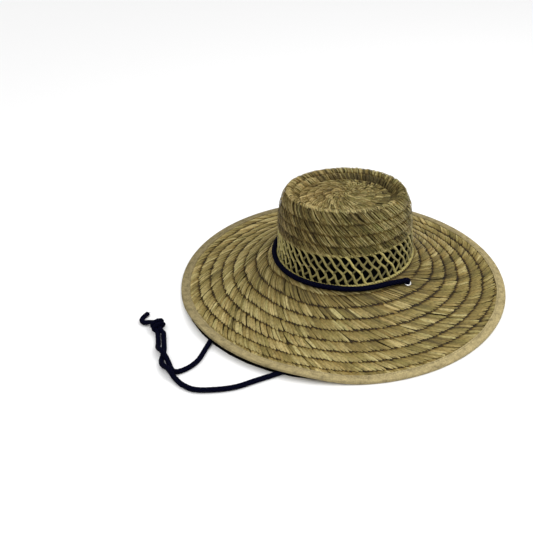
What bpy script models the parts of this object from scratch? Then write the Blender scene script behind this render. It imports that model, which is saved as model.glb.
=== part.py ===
"""Wide sun hat of woven rush: one hollow woven body, a bound brim edge, two eyelets and a chin cord."""

import math

import bmesh
import bpy
from mathutils import Vector

MM = 0.001

# Driving dimensions of the woven body, in metres
RIM_RADIUS = 225.0 * MM
RIM_OVAL = 4.5 * MM
RIM_OVAL_ANGLE = math.radians(-52.0)
WALL = 2.2 * MM
ROW_RELIEF = 0.8 * MM
ROW_CREST_SHARE = 0.3
BRIM_RISE = 40.9 * MM
BRIM_CURVE = 1.7
BRIM_FLAT_FROM = 0.912
CROWN_SHIFT_X = 4.2 * MM
BRIM_SEGMENTS = 80
UNDER_BRIM_STEPS = 3
NORMAL_STEP = 1.5 * MM
NORMAL_TURN = math.radians(0.5)
SHARP_ANGLE = math.radians(40.0)

# The left front of the rim is lifted, so that the chin cord passes under it
LIFT_HEIGHT = 7.6 * MM
LIFT_START = math.radians(-170.0)
LIFT_FULL_FROM = math.radians(-141.0)
LIFT_FULL_TO = math.radians(-106.0)
LIFT_END = math.radians(-82.0)

# Rows of weave, counted on the photographed object
BRIM_ROWS = 9
SIDE_ROWS = 4
DOME_ROWS = 4
DOME_BUTTON_ROWS = 0.5

# Openwork band: leaning strands with two full rows of holes between them
BAND_COLUMNS = 50
BAND_LEAN_COLUMNS = 2.3
BAND_START_COLUMNS = 0.5
BAND_LEVELS = (0.0, 0.19, 0.47, 0.74, 1.0)
BAND_HOLE_LEVELS = (1, 2)
HOLE_SIDE_MARGIN = 0.19
HOLE_END_MARGIN = 0.13

# Bound edge: a folded tape round the rim
GAP = 0.3 * MM
TAPE_THICKNESS = 0.8 * MM
TAPE_WIDTH = 11.0 * MM

# Eyelets, one on each side of the crown
EYELET_ANGLE = math.radians(41.8)
EYELET_FROM_CROWN = 14.0 * MM
EYELET_HOLE_RADIUS = 3.5 * MM
EYELET_BARREL_RADIUS = 4.1 * MM
EYELET_FLANGE_RADIUS = 5.7 * MM
EYELET_FLANGE_THICKNESS = 0.85 * MM
EYELET_BEVEL = 0.4 * MM
EYELET_BRIM_HOLE_RADIUS = 4.5 * MM
EYELET_CUT_DEPTH = 13.0 * MM
EYELET_SEGMENTS = 12

# Chin cord
CORD_RADIUS = 3.0 * MM
CORD_FROM_CORNER = 2.4 * MM
CORD_SPACING = 30.0 * MM
CORD_LEAVES_CROWN = math.radians(73.0)
CORD_RING_STEPS = 17
CORD_BEVEL_RESOLUTION = 2

# How the cord rises over an eyelet's edge and turns down through it
# columns: distance past the eyelet's middle, height over the middle of the wall
CORD_OVER_EYELET = (
    (-20.0 * MM, 5.4 * MM),
    (-12.0 * MM, 6.2 * MM),
    (-5.6 * MM, 7.8 * MM),
    (-1.5 * MM, 6.9 * MM),
    (0.0, 2.6 * MM),
    (0.0, -4.4 * MM),
)
CORD_UNDER_EYELET = (4.8 * MM, 12.0 * MM)

# Outer surface of the crown from its base to the middle of its top
# columns: section, half width along x, depth over width, height, all heights from the floor
CROWN_SECTIONS = (
    ("base", 92.0 * MM, 1.040, 43.1 * MM),
    ("band_foot", 91.4 * MM, 1.030, 47.6 * MM),
    ("band_head", 88.6 * MM, 0.997, 84.1 * MM),
    ("wall", 85.6 * MM, 0.925, 110.2 * MM),
    ("shoulder", 80.6 * MM, 0.890, 126.0 * MM),
    ("crest", 75.2 * MM, 0.860, 133.8 * MM),
    ("lip", 67.8 * MM, 0.845, 130.0 * MM),
    ("channel", 60.0 * MM, 0.835, 123.4 * MM),
    ("dome_edge", 49.0 * MM, 0.835, 124.0 * MM),
    ("dome", 26.0 * MM, 0.840, 127.4 * MM),
    ("centre", 0.0, 0.840, 128.6 * MM),
)

# Route of each cord leg from its eyelet to the knot, in millimetres
# The front leg comes from the near eyelet, the back leg from the far one
FRONT_LEG_ROUTE = (
    (76.0, -79.0, 9.5),
    (64.0, -95.0, 3.7),
    (45.0, -121.0, 3.1),
    (10.0, -157.0, 3.1),
    (-30.0, -186.0, 3.1),
    (-66.7, -206.6, 3.1),
    (-96.9, -221.6, 3.1),
    (-116.8, -231.4, 3.1),
    (-139.3, -235.8, 3.1),
    (-162.2, -235.6, 3.1),
    (-177.0, -228.0, 3.1),
    (-186.8, -218.9, 4.0),
    (-193.3, -211.8, 7.6),
    (-198.6, -205.3, 7.6),
    (-206.0, -197.2, 5.1),
    (-209.9, -188.4, 3.1),
    (-210.6, -179.3, 3.1),
    (-211.5, -167.7, 3.1),
    (-214.3, -156.6, 3.1),
    (-218.6, -138.9, 5.5),
)
BACK_LEG_ROUTE = (
    (76.0, 71.0, 9.5),
    (62.0, 62.0, 3.7),
    (30.0, 40.0, 3.1),
    (-20.0, 6.0, 3.1),
    (-75.0, -33.0, 3.1),
    (-120.5, -71.5, 3.1),
    (-144.0, -107.0, 3.1),
    (-154.4, -132.4, 3.1),
    (-159.4, -151.5, 3.1),
    (-163.4, -170.7, 3.1),
    (-167.1, -185.9, 3.1),
    (-174.6, -198.0, 3.1),
    (-184.7, -205.7, 3.1),
    (-191.1, -206.1, 3.1),
    (-195.8, -200.8, 3.1),
    (-200.7, -191.4, 4.0),
    (-205.7, -183.9, 7.6),
    (-211.4, -177.2, 9.7),
    (-218.4, -167.4, 6.3),
    (-221.4, -156.1, 3.3),
    (-225.3, -140.6, 4.7),
)
TAIL_ROUTE = (
    (-242.1, -116.4, 5.2),
    (-249.3, -115.0, 3.7),
    (-253.7, -109.6, 3.1),
    (-252.9, -102.6, 3.1),
    (-249.7, -95.5, 3.1),
)
KNOT_CENTRE = (-230.1 * MM, -124.2 * MM, 6.9 * MM)
KNOT_HALF_SIZE = (17.0 * MM, 9.8 * MM, 6.7 * MM)
KNOT_TURN = math.radians(118.0)
KNOT_RINGS = 8
KNOT_SEGMENTS = 12

# Material values: name, colour, roughness, metallic
RUSH = ("woven_rush", (0.26, 0.19, 0.075, 1.0), 0.75, 0.0)
TAPE = ("edge_tape", (0.31, 0.25, 0.13, 1.0), 0.85, 0.0)
NICKEL = ("eyelet_metal", (0.75, 0.74, 0.72, 1.0), 0.3, 1.0)
CORD = ("navy_cord", (0.004, 0.005, 0.018, 1.0), 0.8, 0.0)


def clear_scene():
    for item in list(bpy.data.objects):
        bpy.data.objects.remove(item, do_unlink=True)


def principled(values):
    name, colour, roughness, metallic = values
    material = bpy.data.materials.new(name)
    material.use_nodes = True
    shader = material.node_tree.nodes["Principled BSDF"]
    shader.inputs["Base Color"].default_value = colour
    shader.inputs["Roughness"].default_value = roughness
    shader.inputs["Metallic"].default_value = metallic
    return material


def place_mesh(name, mesh_builder, values):
    """Turn a bmesh into a named object with its faces pointing out."""
    bmesh.ops.recalc_face_normals(mesh_builder, faces=mesh_builder.faces[:])
    mesh = bpy.data.meshes.new(name)
    mesh_builder.to_mesh(mesh)
    mesh_builder.free()
    mesh.materials.append(principled(values))
    mesh.shade_smooth()
    mesh.set_sharp_from_angle(angle=SHARP_ANGLE)
    item = bpy.data.objects.new(name, mesh)
    bpy.context.collection.objects.link(item)
    return item


def smooth_step(x):
    x = min(1.0, max(0.0, x))
    return x * x * (3.0 - 2.0 * x)


# The woven body's middle surface, by distance from the crown's base and by angle round the hat
def section_distances():
    """Distance up the crown of each section, measured along its profile."""
    reached = 0.0
    distances = {CROWN_SECTIONS[0][0]: 0.0}
    for low, high in zip(CROWN_SECTIONS, CROWN_SECTIONS[1:]):
        reached += math.hypot(high[1] - low[1], high[3] - low[3])
        distances[high[0]] = reached
    return distances


CROWN_AT = section_distances()
BASE_HALF_WIDTH = CROWN_SECTIONS[0][1]
BASE_DEPTH_RATIO = CROWN_SECTIONS[0][2]
TAPE_OUTSIDE = GAP + TAPE_THICKNESS
WEAVE_EDGE_RADIUS = RIM_RADIUS - TAPE_OUTSIDE
BRIM_WIDTH = WEAVE_EDGE_RADIUS - BASE_HALF_WIDTH
RIM_HEIGHT = WALL / 2 + TAPE_OUTSIDE


def crown_values(distance):
    """Half width, depth over width and height of the crown at a distance up its profile."""
    names = [section[0] for section in CROWN_SECTIONS]
    stops = [CROWN_AT[name] for name in names]
    last = len(stops) - 1
    index = max(i for i in range(last) if distance >= stops[i] or i == 0)
    span = stops[index + 1] - stops[index]
    u = (distance - stops[index]) / span
    result = []
    for column in (1, 2, 3):
        values = [section[column] for section in CROWN_SECTIONS]

        def slope(i):
            before, after = max(i - 1, 0), min(i + 1, last)
            return (values[after] - values[before]) / (stops[after] - stops[before])

        flat_start = (1 - u) ** 2 * (1 + 2 * u) * values[index]
        flat_end = u ** 2 * (3 - 2 * u) * values[index + 1]
        lean_start = u * (1 - u) ** 2 * span * slope(index)
        lean_end = u ** 2 * (u - 1) * span * slope(index + 1)
        result.append(flat_start + flat_end + lean_start + lean_end)
    return result


def rim_lift(angle):
    """Height of the lifted stretch of rim; angles run from -180 to 180 degrees."""
    angle = math.atan2(math.sin(angle), math.cos(angle))
    if angle < LIFT_FULL_TO:
        return LIFT_HEIGHT * smooth_step((angle - LIFT_START) / (LIFT_FULL_FROM - LIFT_START))
    return LIFT_HEIGHT * smooth_step((LIFT_END - angle) / (LIFT_END - LIFT_FULL_TO))


def brim_point(outward, angle, edge_offset=0.0):
    """Point of the brim, from 0 at the crown's base to 1 at the edge of the weave."""
    edge = WEAVE_EDGE_RADIUS + RIM_OVAL * math.cos(2 * (angle - RIM_OVAL_ANGLE)) + edge_offset
    across = BASE_HALF_WIDTH * (1 - outward) + edge * outward
    ratio = BASE_DEPTH_RATIO * (1 - outward) + outward
    slope_part = max(0.0, 1 - outward / BRIM_FLAT_FROM) ** BRIM_CURVE
    height = RIM_HEIGHT + BRIM_RISE * slope_part + rim_lift(angle) * outward ** 2
    shift = CROWN_SHIFT_X * (1 - outward)
    return Vector((shift + across * math.cos(angle), across * ratio * math.sin(angle), height))


def middle_point(distance, angle):
    """Point of the wall's middle surface: brim at negative distances, crown at positive ones."""
    if distance < 0:
        return brim_point(-distance / BRIM_WIDTH, angle)
    half_width, ratio, height = crown_values(distance)
    x = CROWN_SHIFT_X + half_width * math.cos(angle)
    return Vector((x, half_width * ratio * math.sin(angle), height))


def surface_normal(distance, angle):
    """Direction out of the hat at a point of the middle surface."""
    if distance > CROWN_AT["centre"] - NORMAL_STEP:
        return Vector((0.0, 0.0, 1.0))
    outward = max(distance - NORMAL_STEP, -BRIM_WIDTH)
    along = middle_point(distance + NORMAL_STEP, angle) - middle_point(outward, angle)
    around = middle_point(distance, angle + NORMAL_TURN) - middle_point(distance, angle - NORMAL_TURN)
    return around.cross(along).normalized()


def wall_point(distance, angle, offset):
    return middle_point(distance, angle) + surface_normal(distance, angle) * offset


# The woven body's mesh, ring by ring
def column_angle(column):
    return 2 * math.pi * (BAND_START_COLUMNS + column) / BAND_COLUMNS


def add_ring(mesh, distance, offset, count, turn=0.0):
    """Ring of points; count is the number of points and turn a number of columns."""
    per_point = BAND_COLUMNS / count
    ring = []
    for i in range(count):
        ring.append(mesh.verts.new(wall_point(distance, column_angle(turn + i * per_point), offset)))
    return ring


def bridge(mesh, low, high):
    """Faces between two rings that start at one angle: quads for equal counts, else triangles."""
    below, above = len(low), len(high)
    if below == above:
        for i in range(below):
            j = (i + 1) % below
            mesh.faces.new((low[i], low[j], high[j], high[i]))
        return
    i, j = 0, 0
    while i + j < below + above:
        here = (low[i % below], high[j % above])
        if (i + 1) * above <= (j + 1) * below:
            i += 1
            mesh.faces.new((here[0], low[i % below], here[1]))
        else:
            j += 1
            mesh.faces.new((here[0], high[j % above], here[1]))


def band_distance(level):
    return CROWN_AT["band_foot"] * (1 - level) + CROWN_AT["band_head"] * level


def hole_corners(mesh, column, level, offset):
    """Corners of one leaning hole, at its margins inside its cell of the band."""
    corners = []
    for across, up in ((0, 0), (1, 0), (1, 1), (0, 1)):
        a = HOLE_SIDE_MARGIN if across == 0 else 1 - HOLE_SIDE_MARGIN
        b = HOLE_END_MARGIN if up == 0 else 1 - HOLE_END_MARGIN
        height = BAND_LEVELS[level] * (1 - b) + BAND_LEVELS[level + 1] * b
        turn = BAND_LEAN_COLUMNS * (1 - height)
        angle = column_angle(column + a + turn)
        corners.append(mesh.verts.new(wall_point(band_distance(height), angle, offset)))
    return corners


def add_band(mesh, outer_foot, inner_foot):
    """Openwork band above its foot rings; returns the outer and inner rings at its head."""
    lower = (outer_foot, inner_foot)
    for level in range(len(BAND_LEVELS) - 1):
        height = BAND_LEVELS[level + 1]
        turn = BAND_LEAN_COLUMNS * (1 - height)
        upper = []
        for offset in (WALL / 2, -WALL / 2):
            upper.append(add_ring(mesh, band_distance(height), offset, BAND_COLUMNS, turn))
        if level not in BAND_HOLE_LEVELS:
            for skin in (0, 1):
                bridge(mesh, lower[skin], upper[skin])
            lower = upper
            continue
        for column in range(BAND_COLUMNS):
            following = (column + 1) % BAND_COLUMNS
            holes = []
            for skin, offset in ((0, WALL / 2), (1, -WALL / 2)):
                low, high = lower[skin], upper[skin]
                cell = (low[column], low[following], high[following], high[column])
                hole = hole_corners(mesh, column, level, offset)
                holes.append(hole)
                for i in range(4):
                    j = (i + 1) % 4
                    mesh.faces.new((cell[i], cell[j], hole[j], hole[i]))
            for i in range(4):
                j = (i + 1) % 4
                mesh.faces.new((holes[0][i], holes[0][j], holes[1][j], holes[1][i]))
        lower = upper
    return lower


def add_rings(mesh, start, stops, count, turn=0.0):
    """Chain of bridged rings from a first ring; stops hold distance and offset."""
    ring = start
    for distance, offset in stops:
        following = add_ring(mesh, distance, offset, count, turn)
        bridge(mesh, ring, following)
        ring = following
    return ring


def close_with_point(mesh, ring, offset):
    middle = mesh.verts.new(wall_point(CROWN_AT["centre"], 0.0, offset))
    for i, vert in enumerate(ring):
        mesh.faces.new((vert, ring[(i + 1) % len(ring)], middle))


def outer_brim_stops():
    """Grooves and crests of the brim's rows, from the rim to the crown's base."""
    pitch = BRIM_WIDTH / BRIM_ROWS
    stops = []
    for row in range(BRIM_ROWS - 1, 0, -1):
        stops.append((-row * pitch, WALL / 2))
        stops.append((-(row - ROW_CREST_SHARE) * pitch, WALL / 2 + ROW_RELIEF))
    stops.append((0.0, WALL / 2))
    return stops


def outer_crown_stops():
    """Rows of the crown's side, the rolled crest, the channel and the rows of the low dome."""
    head, crest = CROWN_AT["band_head"], CROWN_AT["crest"]
    pitch = (crest - head) / SIDE_ROWS
    stops = []
    for row in range(SIDE_ROWS):
        stops.append((head + (row + ROW_CREST_SHARE) * pitch, WALL / 2 + ROW_RELIEF))
        stops.append((head + (row + 1) * pitch, WALL / 2))
    for name in ("lip", "channel"):
        stops.append((CROWN_AT[name], WALL / 2))
    edge, centre = CROWN_AT["dome_edge"], CROWN_AT["centre"]
    pitch = (centre - edge) / (DOME_ROWS + DOME_BUTTON_ROWS)
    for row in range(DOME_ROWS):
        stops.append((edge + row * pitch, WALL / 2))
        stops.append((edge + (row + ROW_CREST_SHARE) * pitch, WALL / 2 + ROW_RELIEF))
    return stops


def build_woven_body():
    """Crown, openwork band and brim, woven as one wall and open underneath."""
    mesh = bmesh.new()
    turn = BAND_LEAN_COLUMNS
    rim_outer = add_ring(mesh, -BRIM_WIDTH, WALL / 2, BRIM_SEGMENTS, turn)
    rim_inner = add_ring(mesh, -BRIM_WIDTH, -WALL / 2, BRIM_SEGMENTS, turn)
    bridge(mesh, rim_inner, rim_outer)
    outer = add_rings(mesh, rim_outer, outer_brim_stops(), BRIM_SEGMENTS, turn)
    under_stops = []
    for step in range(UNDER_BRIM_STEPS - 1, -1, -1):
        under_stops.append((-BRIM_WIDTH * step / UNDER_BRIM_STEPS, -WALL / 2))
    inner = add_rings(mesh, rim_inner, under_stops, BRIM_SEGMENTS, turn)
    foot = CROWN_AT["band_foot"]
    outer = add_rings(mesh, outer, [(foot, WALL / 2)], BAND_COLUMNS, turn)
    inner = add_rings(mesh, inner, [(foot, -WALL / 2)], BAND_COLUMNS, turn)
    outer, inner = add_band(mesh, outer, inner)
    outer = add_rings(mesh, outer, outer_crown_stops(), BAND_COLUMNS)
    close_with_point(mesh, outer, WALL / 2)
    inside = ("shoulder", "crest", "channel", "dome_edge", "dome")
    inner = add_rings(mesh, inner, [(CROWN_AT[name], -WALL / 2) for name in inside], BAND_COLUMNS)
    close_with_point(mesh, inner, -WALL / 2)
    return place_mesh("woven_body", mesh, RUSH)


def build_brim_binding():
    """Tape folded over the edge of the brim, flat underneath where it rests."""
    inside = WALL / 2 + GAP
    outside = inside + TAPE_THICKNESS
    section = (
        (-TAPE_WIDTH, inside),
        (-TAPE_WIDTH, outside),
        (TAPE_OUTSIDE, outside),
        (TAPE_OUTSIDE, -outside),
        (-TAPE_WIDTH, -outside),
        (-TAPE_WIDTH, -inside),
        (GAP, -inside),
        (GAP, inside),
    )
    mesh = bmesh.new()
    rings = []
    for reach, rise in section:
        outward = 1 + min(reach, 0.0) / BRIM_WIDTH
        ring = []
        for i in range(BRIM_SEGMENTS):
            angle = column_angle(BAND_LEAN_COLUMNS + i * BAND_COLUMNS / BRIM_SEGMENTS)
            point = brim_point(outward, angle, max(reach, 0.0))
            ring.append(mesh.verts.new(point + Vector((0.0, 0.0, rise))))
        rings.append(ring)
    for i, ring in enumerate(rings):
        bridge(mesh, ring, rings[(i + 1) % len(rings)])
    return place_mesh("brim_binding", mesh, TAPE)


# Eyelets
def eyelet_place(side):
    """Middle of the wall under an eyelet and the direction out of the brim there."""
    angle = side * EYELET_ANGLE
    return middle_point(-EYELET_FROM_CROWN, angle), surface_normal(-EYELET_FROM_CROWN, angle)


def turned(mesh, section, segments):
    """Closed ring section turned round the local z axis."""
    rings = []
    for radius, height in section:
        ring = []
        for i in range(segments):
            angle = 2 * math.pi * i / segments
            ring.append(mesh.verts.new((radius * math.cos(angle), radius * math.sin(angle), height)))
        rings.append(ring)
    for i, ring in enumerate(rings):
        bridge(mesh, ring, rings[(i + 1) % len(rings)])


def stand_on_brim(item, side):
    place, normal = eyelet_place(side)
    item.location = place
    item.rotation_mode = "QUATERNION"
    item.rotation_quaternion = normal.to_track_quat("Z", "Y")


def build_eyelet(name, side):
    """Pressed metal eyelet: a barrel with a rounded flange above and below the brim."""
    above = WALL / 2 + ROW_RELIEF + GAP
    below = -WALL / 2 - GAP
    section = (
        (EYELET_HOLE_RADIUS, above + EYELET_FLANGE_THICKNESS - EYELET_BEVEL),
        (EYELET_HOLE_RADIUS + EYELET_BEVEL, above + EYELET_FLANGE_THICKNESS),
        (EYELET_FLANGE_RADIUS - EYELET_BEVEL, above + EYELET_FLANGE_THICKNESS),
        (EYELET_FLANGE_RADIUS, above + EYELET_BEVEL),
        (EYELET_FLANGE_RADIUS, above),
        (EYELET_BARREL_RADIUS, above),
        (EYELET_BARREL_RADIUS, below),
        (EYELET_FLANGE_RADIUS, below),
        (EYELET_FLANGE_RADIUS, below - EYELET_FLANGE_THICKNESS),
        (EYELET_HOLE_RADIUS, below - EYELET_FLANGE_THICKNESS),
    )
    mesh = bmesh.new()
    turned(mesh, section, EYELET_SEGMENTS)
    item = place_mesh(name, mesh, NICKEL)
    stand_on_brim(item, side)
    return item


def cut_eyelet_hole(body, name, side):
    """Round hole through the brim for an eyelet's barrel."""
    mesh = bmesh.new()
    bmesh.ops.create_cone(
        mesh,
        cap_ends=True,
        segments=EYELET_SEGMENTS,
        radius1=EYELET_BRIM_HOLE_RADIUS,
        radius2=EYELET_BRIM_HOLE_RADIUS,
        depth=EYELET_CUT_DEPTH,
    )
    cutter = place_mesh(name, mesh, RUSH)
    stand_on_brim(cutter, side)
    cutter.hide_render = True
    cutter.display_type = "WIRE"
    cut = body.modifiers.new(name, "BOOLEAN")
    cut.operation = "DIFFERENCE"
    cut.solver = "EXACT"
    cut.object = cutter


# Chin cord
def smooth_route(points):
    """Points of one smooth curve through a route, about one cord spacing apart."""
    route = [Vector(point) for point in points]
    result = []
    for i in range(len(route) - 1):
        start, end = route[i], route[i + 1]
        before = route[max(i - 1, 0)]
        after = route[min(i + 2, len(route) - 1)]
        span = (end - start).length
        lean_start = (end - before) * (span / ((start - before).length + span))
        lean_end = (after - start) * (span / ((after - end).length + span))
        pieces = max(1, round(span / CORD_SPACING))
        for k in range(pieces):
            u = k / pieces
            point = start * ((1 - u) ** 2 * (1 + 2 * u)) + end * (u * u * (3 - 2 * u))
            point += lean_start * (u * (1 - u) ** 2) + lean_end * (u * u * (u - 1))
            result.append(point)
    result.append(route[-1])
    return result


def build_cord(name, points):
    """Round cord along a route, with closed ends."""
    curve = bpy.data.curves.new(name, "CURVE")
    curve.dimensions = "3D"
    curve.bevel_depth = CORD_RADIUS
    curve.bevel_resolution = CORD_BEVEL_RESOLUTION
    curve.use_fill_caps = True
    route = smooth_route(points)
    spline = curve.splines.new("POLY")
    spline.points.add(len(route) - 1)
    for spot, point in zip(spline.points, route):
        spot.co = (*point, 1.0)
    curve.materials.append(principled(CORD))
    item = bpy.data.objects.new(name, curve)
    bpy.context.collection.objects.link(item)
    return item


def eyelet_dive(side):
    """Route points from the brim's surface over an eyelet and down through it."""
    place, normal = eyelet_place(side)
    leave = crown_cord_point(side * CORD_LEAVES_CROWN)
    toward = place - leave
    toward -= normal * toward.dot(normal)
    toward.normalize()
    return [place + toward * past + normal * rise for past, rise in CORD_OVER_EYELET]


def crown_cord_point(angle):
    """Point of the cord where it lies in the corner between the crown's band and the brim."""
    clear = WALL / 2 + ROW_RELIEF + GAP + CORD_RADIUS
    return wall_point(-CORD_FROM_CORNER, angle, clear)


def crown_cord_route():
    """From the near eyelet round the left of the crown to the far eyelet."""
    sweep = 2 * math.pi - 2 * CORD_LEAVES_CROWN
    ring = []
    for i in range(CORD_RING_STEPS + 1):
        ring.append(crown_cord_point(-CORD_LEAVES_CROWN - sweep * i / CORD_RING_STEPS))
    return eyelet_dive(-1)[::-1] + ring + eyelet_dive(1)


def leg_route(side, floor_route):
    """From under an eyelet down to the floor and along it."""
    place, normal = eyelet_place(side)
    start = [place - normal * drop for drop in CORD_UNDER_EYELET]
    return start + [Vector(point) * MM for point in floor_route]


def build_knot():
    """Plain solid of the knot's outer shape, lying on the floor."""
    mesh = bmesh.new()
    bmesh.ops.create_uvsphere(mesh, u_segments=KNOT_SEGMENTS, v_segments=KNOT_RINGS, radius=1.0)
    bmesh.ops.scale(mesh, vec=KNOT_HALF_SIZE, verts=mesh.verts)
    item = place_mesh("cord_knot", mesh, CORD)
    item.location = KNOT_CENTRE
    item.rotation_euler = (0.0, 0.0, KNOT_TURN)
    return item


def main():
    clear_scene()
    body = build_woven_body()
    build_brim_binding()
    for label, side in (("near", -1), ("far", 1)):
        build_eyelet("eyelet_" + label, side)
        cut_eyelet_hole(body, "eyelet_hole_" + label, side)
    build_cord("cord_round_crown", crown_cord_route())
    build_cord("cord_leg_front", leg_route(-1, FRONT_LEG_ROUTE))
    build_cord("cord_leg_back", leg_route(1, BACK_LEG_ROUTE))
    build_knot()
    build_cord("cord_tail", [Vector(point) * MM for point in TAIL_ROUTE])


main()
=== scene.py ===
"""Looks of a woven rush sun hat with a chin cord, built over its solid part."""

import math

import bpy
import numpy as np
from bpy.props import FloatProperty, FloatVectorProperty, IntProperty, PointerProperty
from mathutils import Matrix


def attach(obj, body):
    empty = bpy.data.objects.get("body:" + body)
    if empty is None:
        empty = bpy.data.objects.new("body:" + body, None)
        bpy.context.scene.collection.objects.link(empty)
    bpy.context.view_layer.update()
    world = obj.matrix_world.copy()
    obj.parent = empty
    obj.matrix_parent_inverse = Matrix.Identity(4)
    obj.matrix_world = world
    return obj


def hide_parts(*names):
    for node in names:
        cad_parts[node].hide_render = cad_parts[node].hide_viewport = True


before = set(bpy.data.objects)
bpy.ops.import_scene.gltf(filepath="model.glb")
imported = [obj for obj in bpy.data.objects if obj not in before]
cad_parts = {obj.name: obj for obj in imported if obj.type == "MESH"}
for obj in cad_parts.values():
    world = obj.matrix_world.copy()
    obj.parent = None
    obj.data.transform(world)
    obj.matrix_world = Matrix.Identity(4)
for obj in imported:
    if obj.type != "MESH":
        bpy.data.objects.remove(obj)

bl_info = {
    "name": "Woven sun hat",
    "version": (1, 0, 0),
    "blender": (4, 5, 0),
    "location": "3D View > Sidebar > Sun hat",
    "description": "Weaves a rush sun hat with an openwork band, a bound edge and a knotted chin cord",
    "category": "Object",
}

MM = 0.001

# Sizes shared with the solid part
WEAVE_EDGE_RADIUS = 223.9 * MM
RIM_OVAL = 4.5 * MM
RIM_OVAL_ANGLE = math.radians(-52.0)
RIM_HEIGHT = 2.2 * MM
BRIM_RISE = 40.9 * MM
BRIM_CURVE = 1.7
BRIM_FLAT_FROM = 0.912
CROWN_SHIFT_X = 4.2 * MM
LIFT_HEIGHT = 7.6 * MM
LIFT_START = math.radians(-170.0)
LIFT_FULL_FROM = math.radians(-141.0)
LIFT_FULL_TO = math.radians(-106.0)
LIFT_END = math.radians(-82.0)
BAND_COLUMNS = 50
BAND_LEAN_COLUMNS = 2.3
BAND_START_COLUMNS = 0.5
TAPE_WIDTH = 11.0 * MM
EYELET_ANGLE = math.radians(41.8)
EYELET_FROM_CROWN = 14.0 * MM
EYELET_CLEAR_RADIUS = 4.4 * MM
CORD_RADIUS = 3.0 * MM
CORD_LEAVES_CROWN = math.radians(73.0)
CORD_RING_STEPS = 17
CORD_FROM_CORNER = 2.4 * MM
CORD_OVER_BRIM = 5.2 * MM
CORD_PRESSED_RADIUS = 3.4 * MM
CORD_LOOSE_BULGE = 2.2 * MM
CORD_LOOSE_SPAN = math.radians(30.0)

# Crown from its base to the middle of its top
# columns: half width along x, depth over width, height
CROWN_SECTIONS = np.array((
    (92.0 * MM, 1.040, 43.1 * MM),
    (91.4 * MM, 1.030, 47.6 * MM),
    (88.6 * MM, 0.997, 84.1 * MM),
    (85.6 * MM, 0.925, 110.2 * MM),
    (80.6 * MM, 0.890, 126.0 * MM),
    (75.2 * MM, 0.860, 133.8 * MM),
    (67.8 * MM, 0.845, 130.0 * MM),
    (60.0 * MM, 0.835, 123.4 * MM),
    (49.0 * MM, 0.835, 124.0 * MM),
    (26.0 * MM, 0.840, 127.4 * MM),
    (0.0, 0.840, 128.6 * MM),
))
BAND_FOOT_SECTION = 1
BAND_HEAD_SECTION = 2
CREST_SECTION = 5
# Angles round the hat: the crown's crest gets a painted highlight towards the left front; towards the right
# back the channel gets painted shade and the side painted light
CREST_HIGHLIGHT_ANGLE = math.radians(-135.0)
RIGHT_BACK_ANGLE = math.radians(30.0)
TAPE_PALE_ANGLE = math.radians(-50.0)
BASE_HALF_WIDTH = CROWN_SECTIONS[0, 0]
BASE_DEPTH_RATIO = CROWN_SECTIONS[0, 1]
BRIM_WIDTH = WEAVE_EDGE_RADIUS - BASE_HALF_WIDTH

# Rows of the brim round the hat, closest at the front
# columns: angle in degrees, spacing and start of the rows in millimetres
BRIM_ROWS = np.array((
    (-190.0, 16.1, 7.0),
    (-180.0, 15.9, 6.4),
    (-160.0, 15.8, 4.3),
    (-150.0, 15.8, 2.5),
    (-140.0, 15.8, 0.1),
    (-130.0, 15.4, -0.2),
    (-115.0, 14.9, 1.3),
    (-100.0, 14.8, -0.1),
    (-90.0, 14.9, -2.0),
    (-75.0, 15.0, -2.8),
    (-60.0, 15.5, -3.7),
    (-50.0, 15.7, -3.3),
    (-35.0, 16.2, -2.0),
    (-20.0, 17.1, -3.0),
    (-8.0, 18.3, -7.6),
    (5.0, 19.6, -13.8),
    (20.0, 20.4, -19.2),
    (40.0, 20.4, -22.2),
    (60.0, 19.2, -15.0),
    (100.0, 16.8, -1.0),
    (150.0, 16.3, 4.6),
))

# Routes of the cord's legs on the floor and of its tail, in millimetres
FRONT_LEG_ROUTE = (
    (76.0, -79.0, 9.5),
    (64.0, -95.0, 3.7),
    (45.0, -121.0, 3.1),
    (10.0, -157.0, 3.1),
    (-30.0, -186.0, 3.1),
    (-66.7, -206.6, 3.1),
    (-96.9, -221.6, 3.1),
    (-116.8, -231.4, 3.1),
    (-139.3, -235.8, 3.1),
    (-162.2, -235.6, 3.1),
    (-177.0, -228.0, 3.1),
    (-186.8, -218.9, 4.0),
    (-193.3, -211.8, 7.6),
    (-198.6, -205.3, 7.6),
    (-206.0, -197.2, 5.1),
    (-209.9, -188.4, 3.1),
    (-210.6, -179.3, 3.1),
    (-211.5, -167.7, 3.1),
    (-214.3, -156.6, 3.1),
    (-218.6, -138.9, 5.5),
)
BACK_LEG_ROUTE = (
    (76.0, 71.0, 9.5),
    (62.0, 62.0, 3.7),
    (30.0, 40.0, 3.1),
    (-20.0, 6.0, 3.1),
    (-75.0, -33.0, 3.1),
    (-120.5, -71.5, 3.1),
    (-144.0, -107.0, 3.1),
    (-154.4, -132.4, 3.1),
    (-159.4, -151.5, 3.1),
    (-163.4, -170.7, 3.1),
    (-167.1, -185.9, 3.1),
    (-174.6, -198.0, 3.1),
    (-184.7, -205.7, 3.1),
    (-191.1, -206.1, 3.1),
    (-195.8, -200.8, 3.1),
    (-200.7, -191.4, 4.0),
    (-205.7, -183.9, 7.6),
    (-211.4, -177.2, 9.7),
    (-218.4, -167.4, 6.3),
    (-221.4, -156.1, 3.3),
    (-225.3, -140.6, 4.7),
)
TAIL_ROUTE = (
    (-242.1, -116.4, 5.2),
    (-249.3, -115.0, 3.7),
    (-253.7, -109.6, 3.1),
    (-252.9, -102.6, 3.1),
    (-249.7, -95.5, 3.1),
)
CORD_OVER_EYELET = (
    (-20.0 * MM, 5.4 * MM),
    (-12.0 * MM, 6.2 * MM),
    (-5.6 * MM, 7.8 * MM),
    (-1.5 * MM, 6.9 * MM),
    (0.0, 2.6 * MM),
    (0.0, -4.4 * MM),
)
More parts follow.
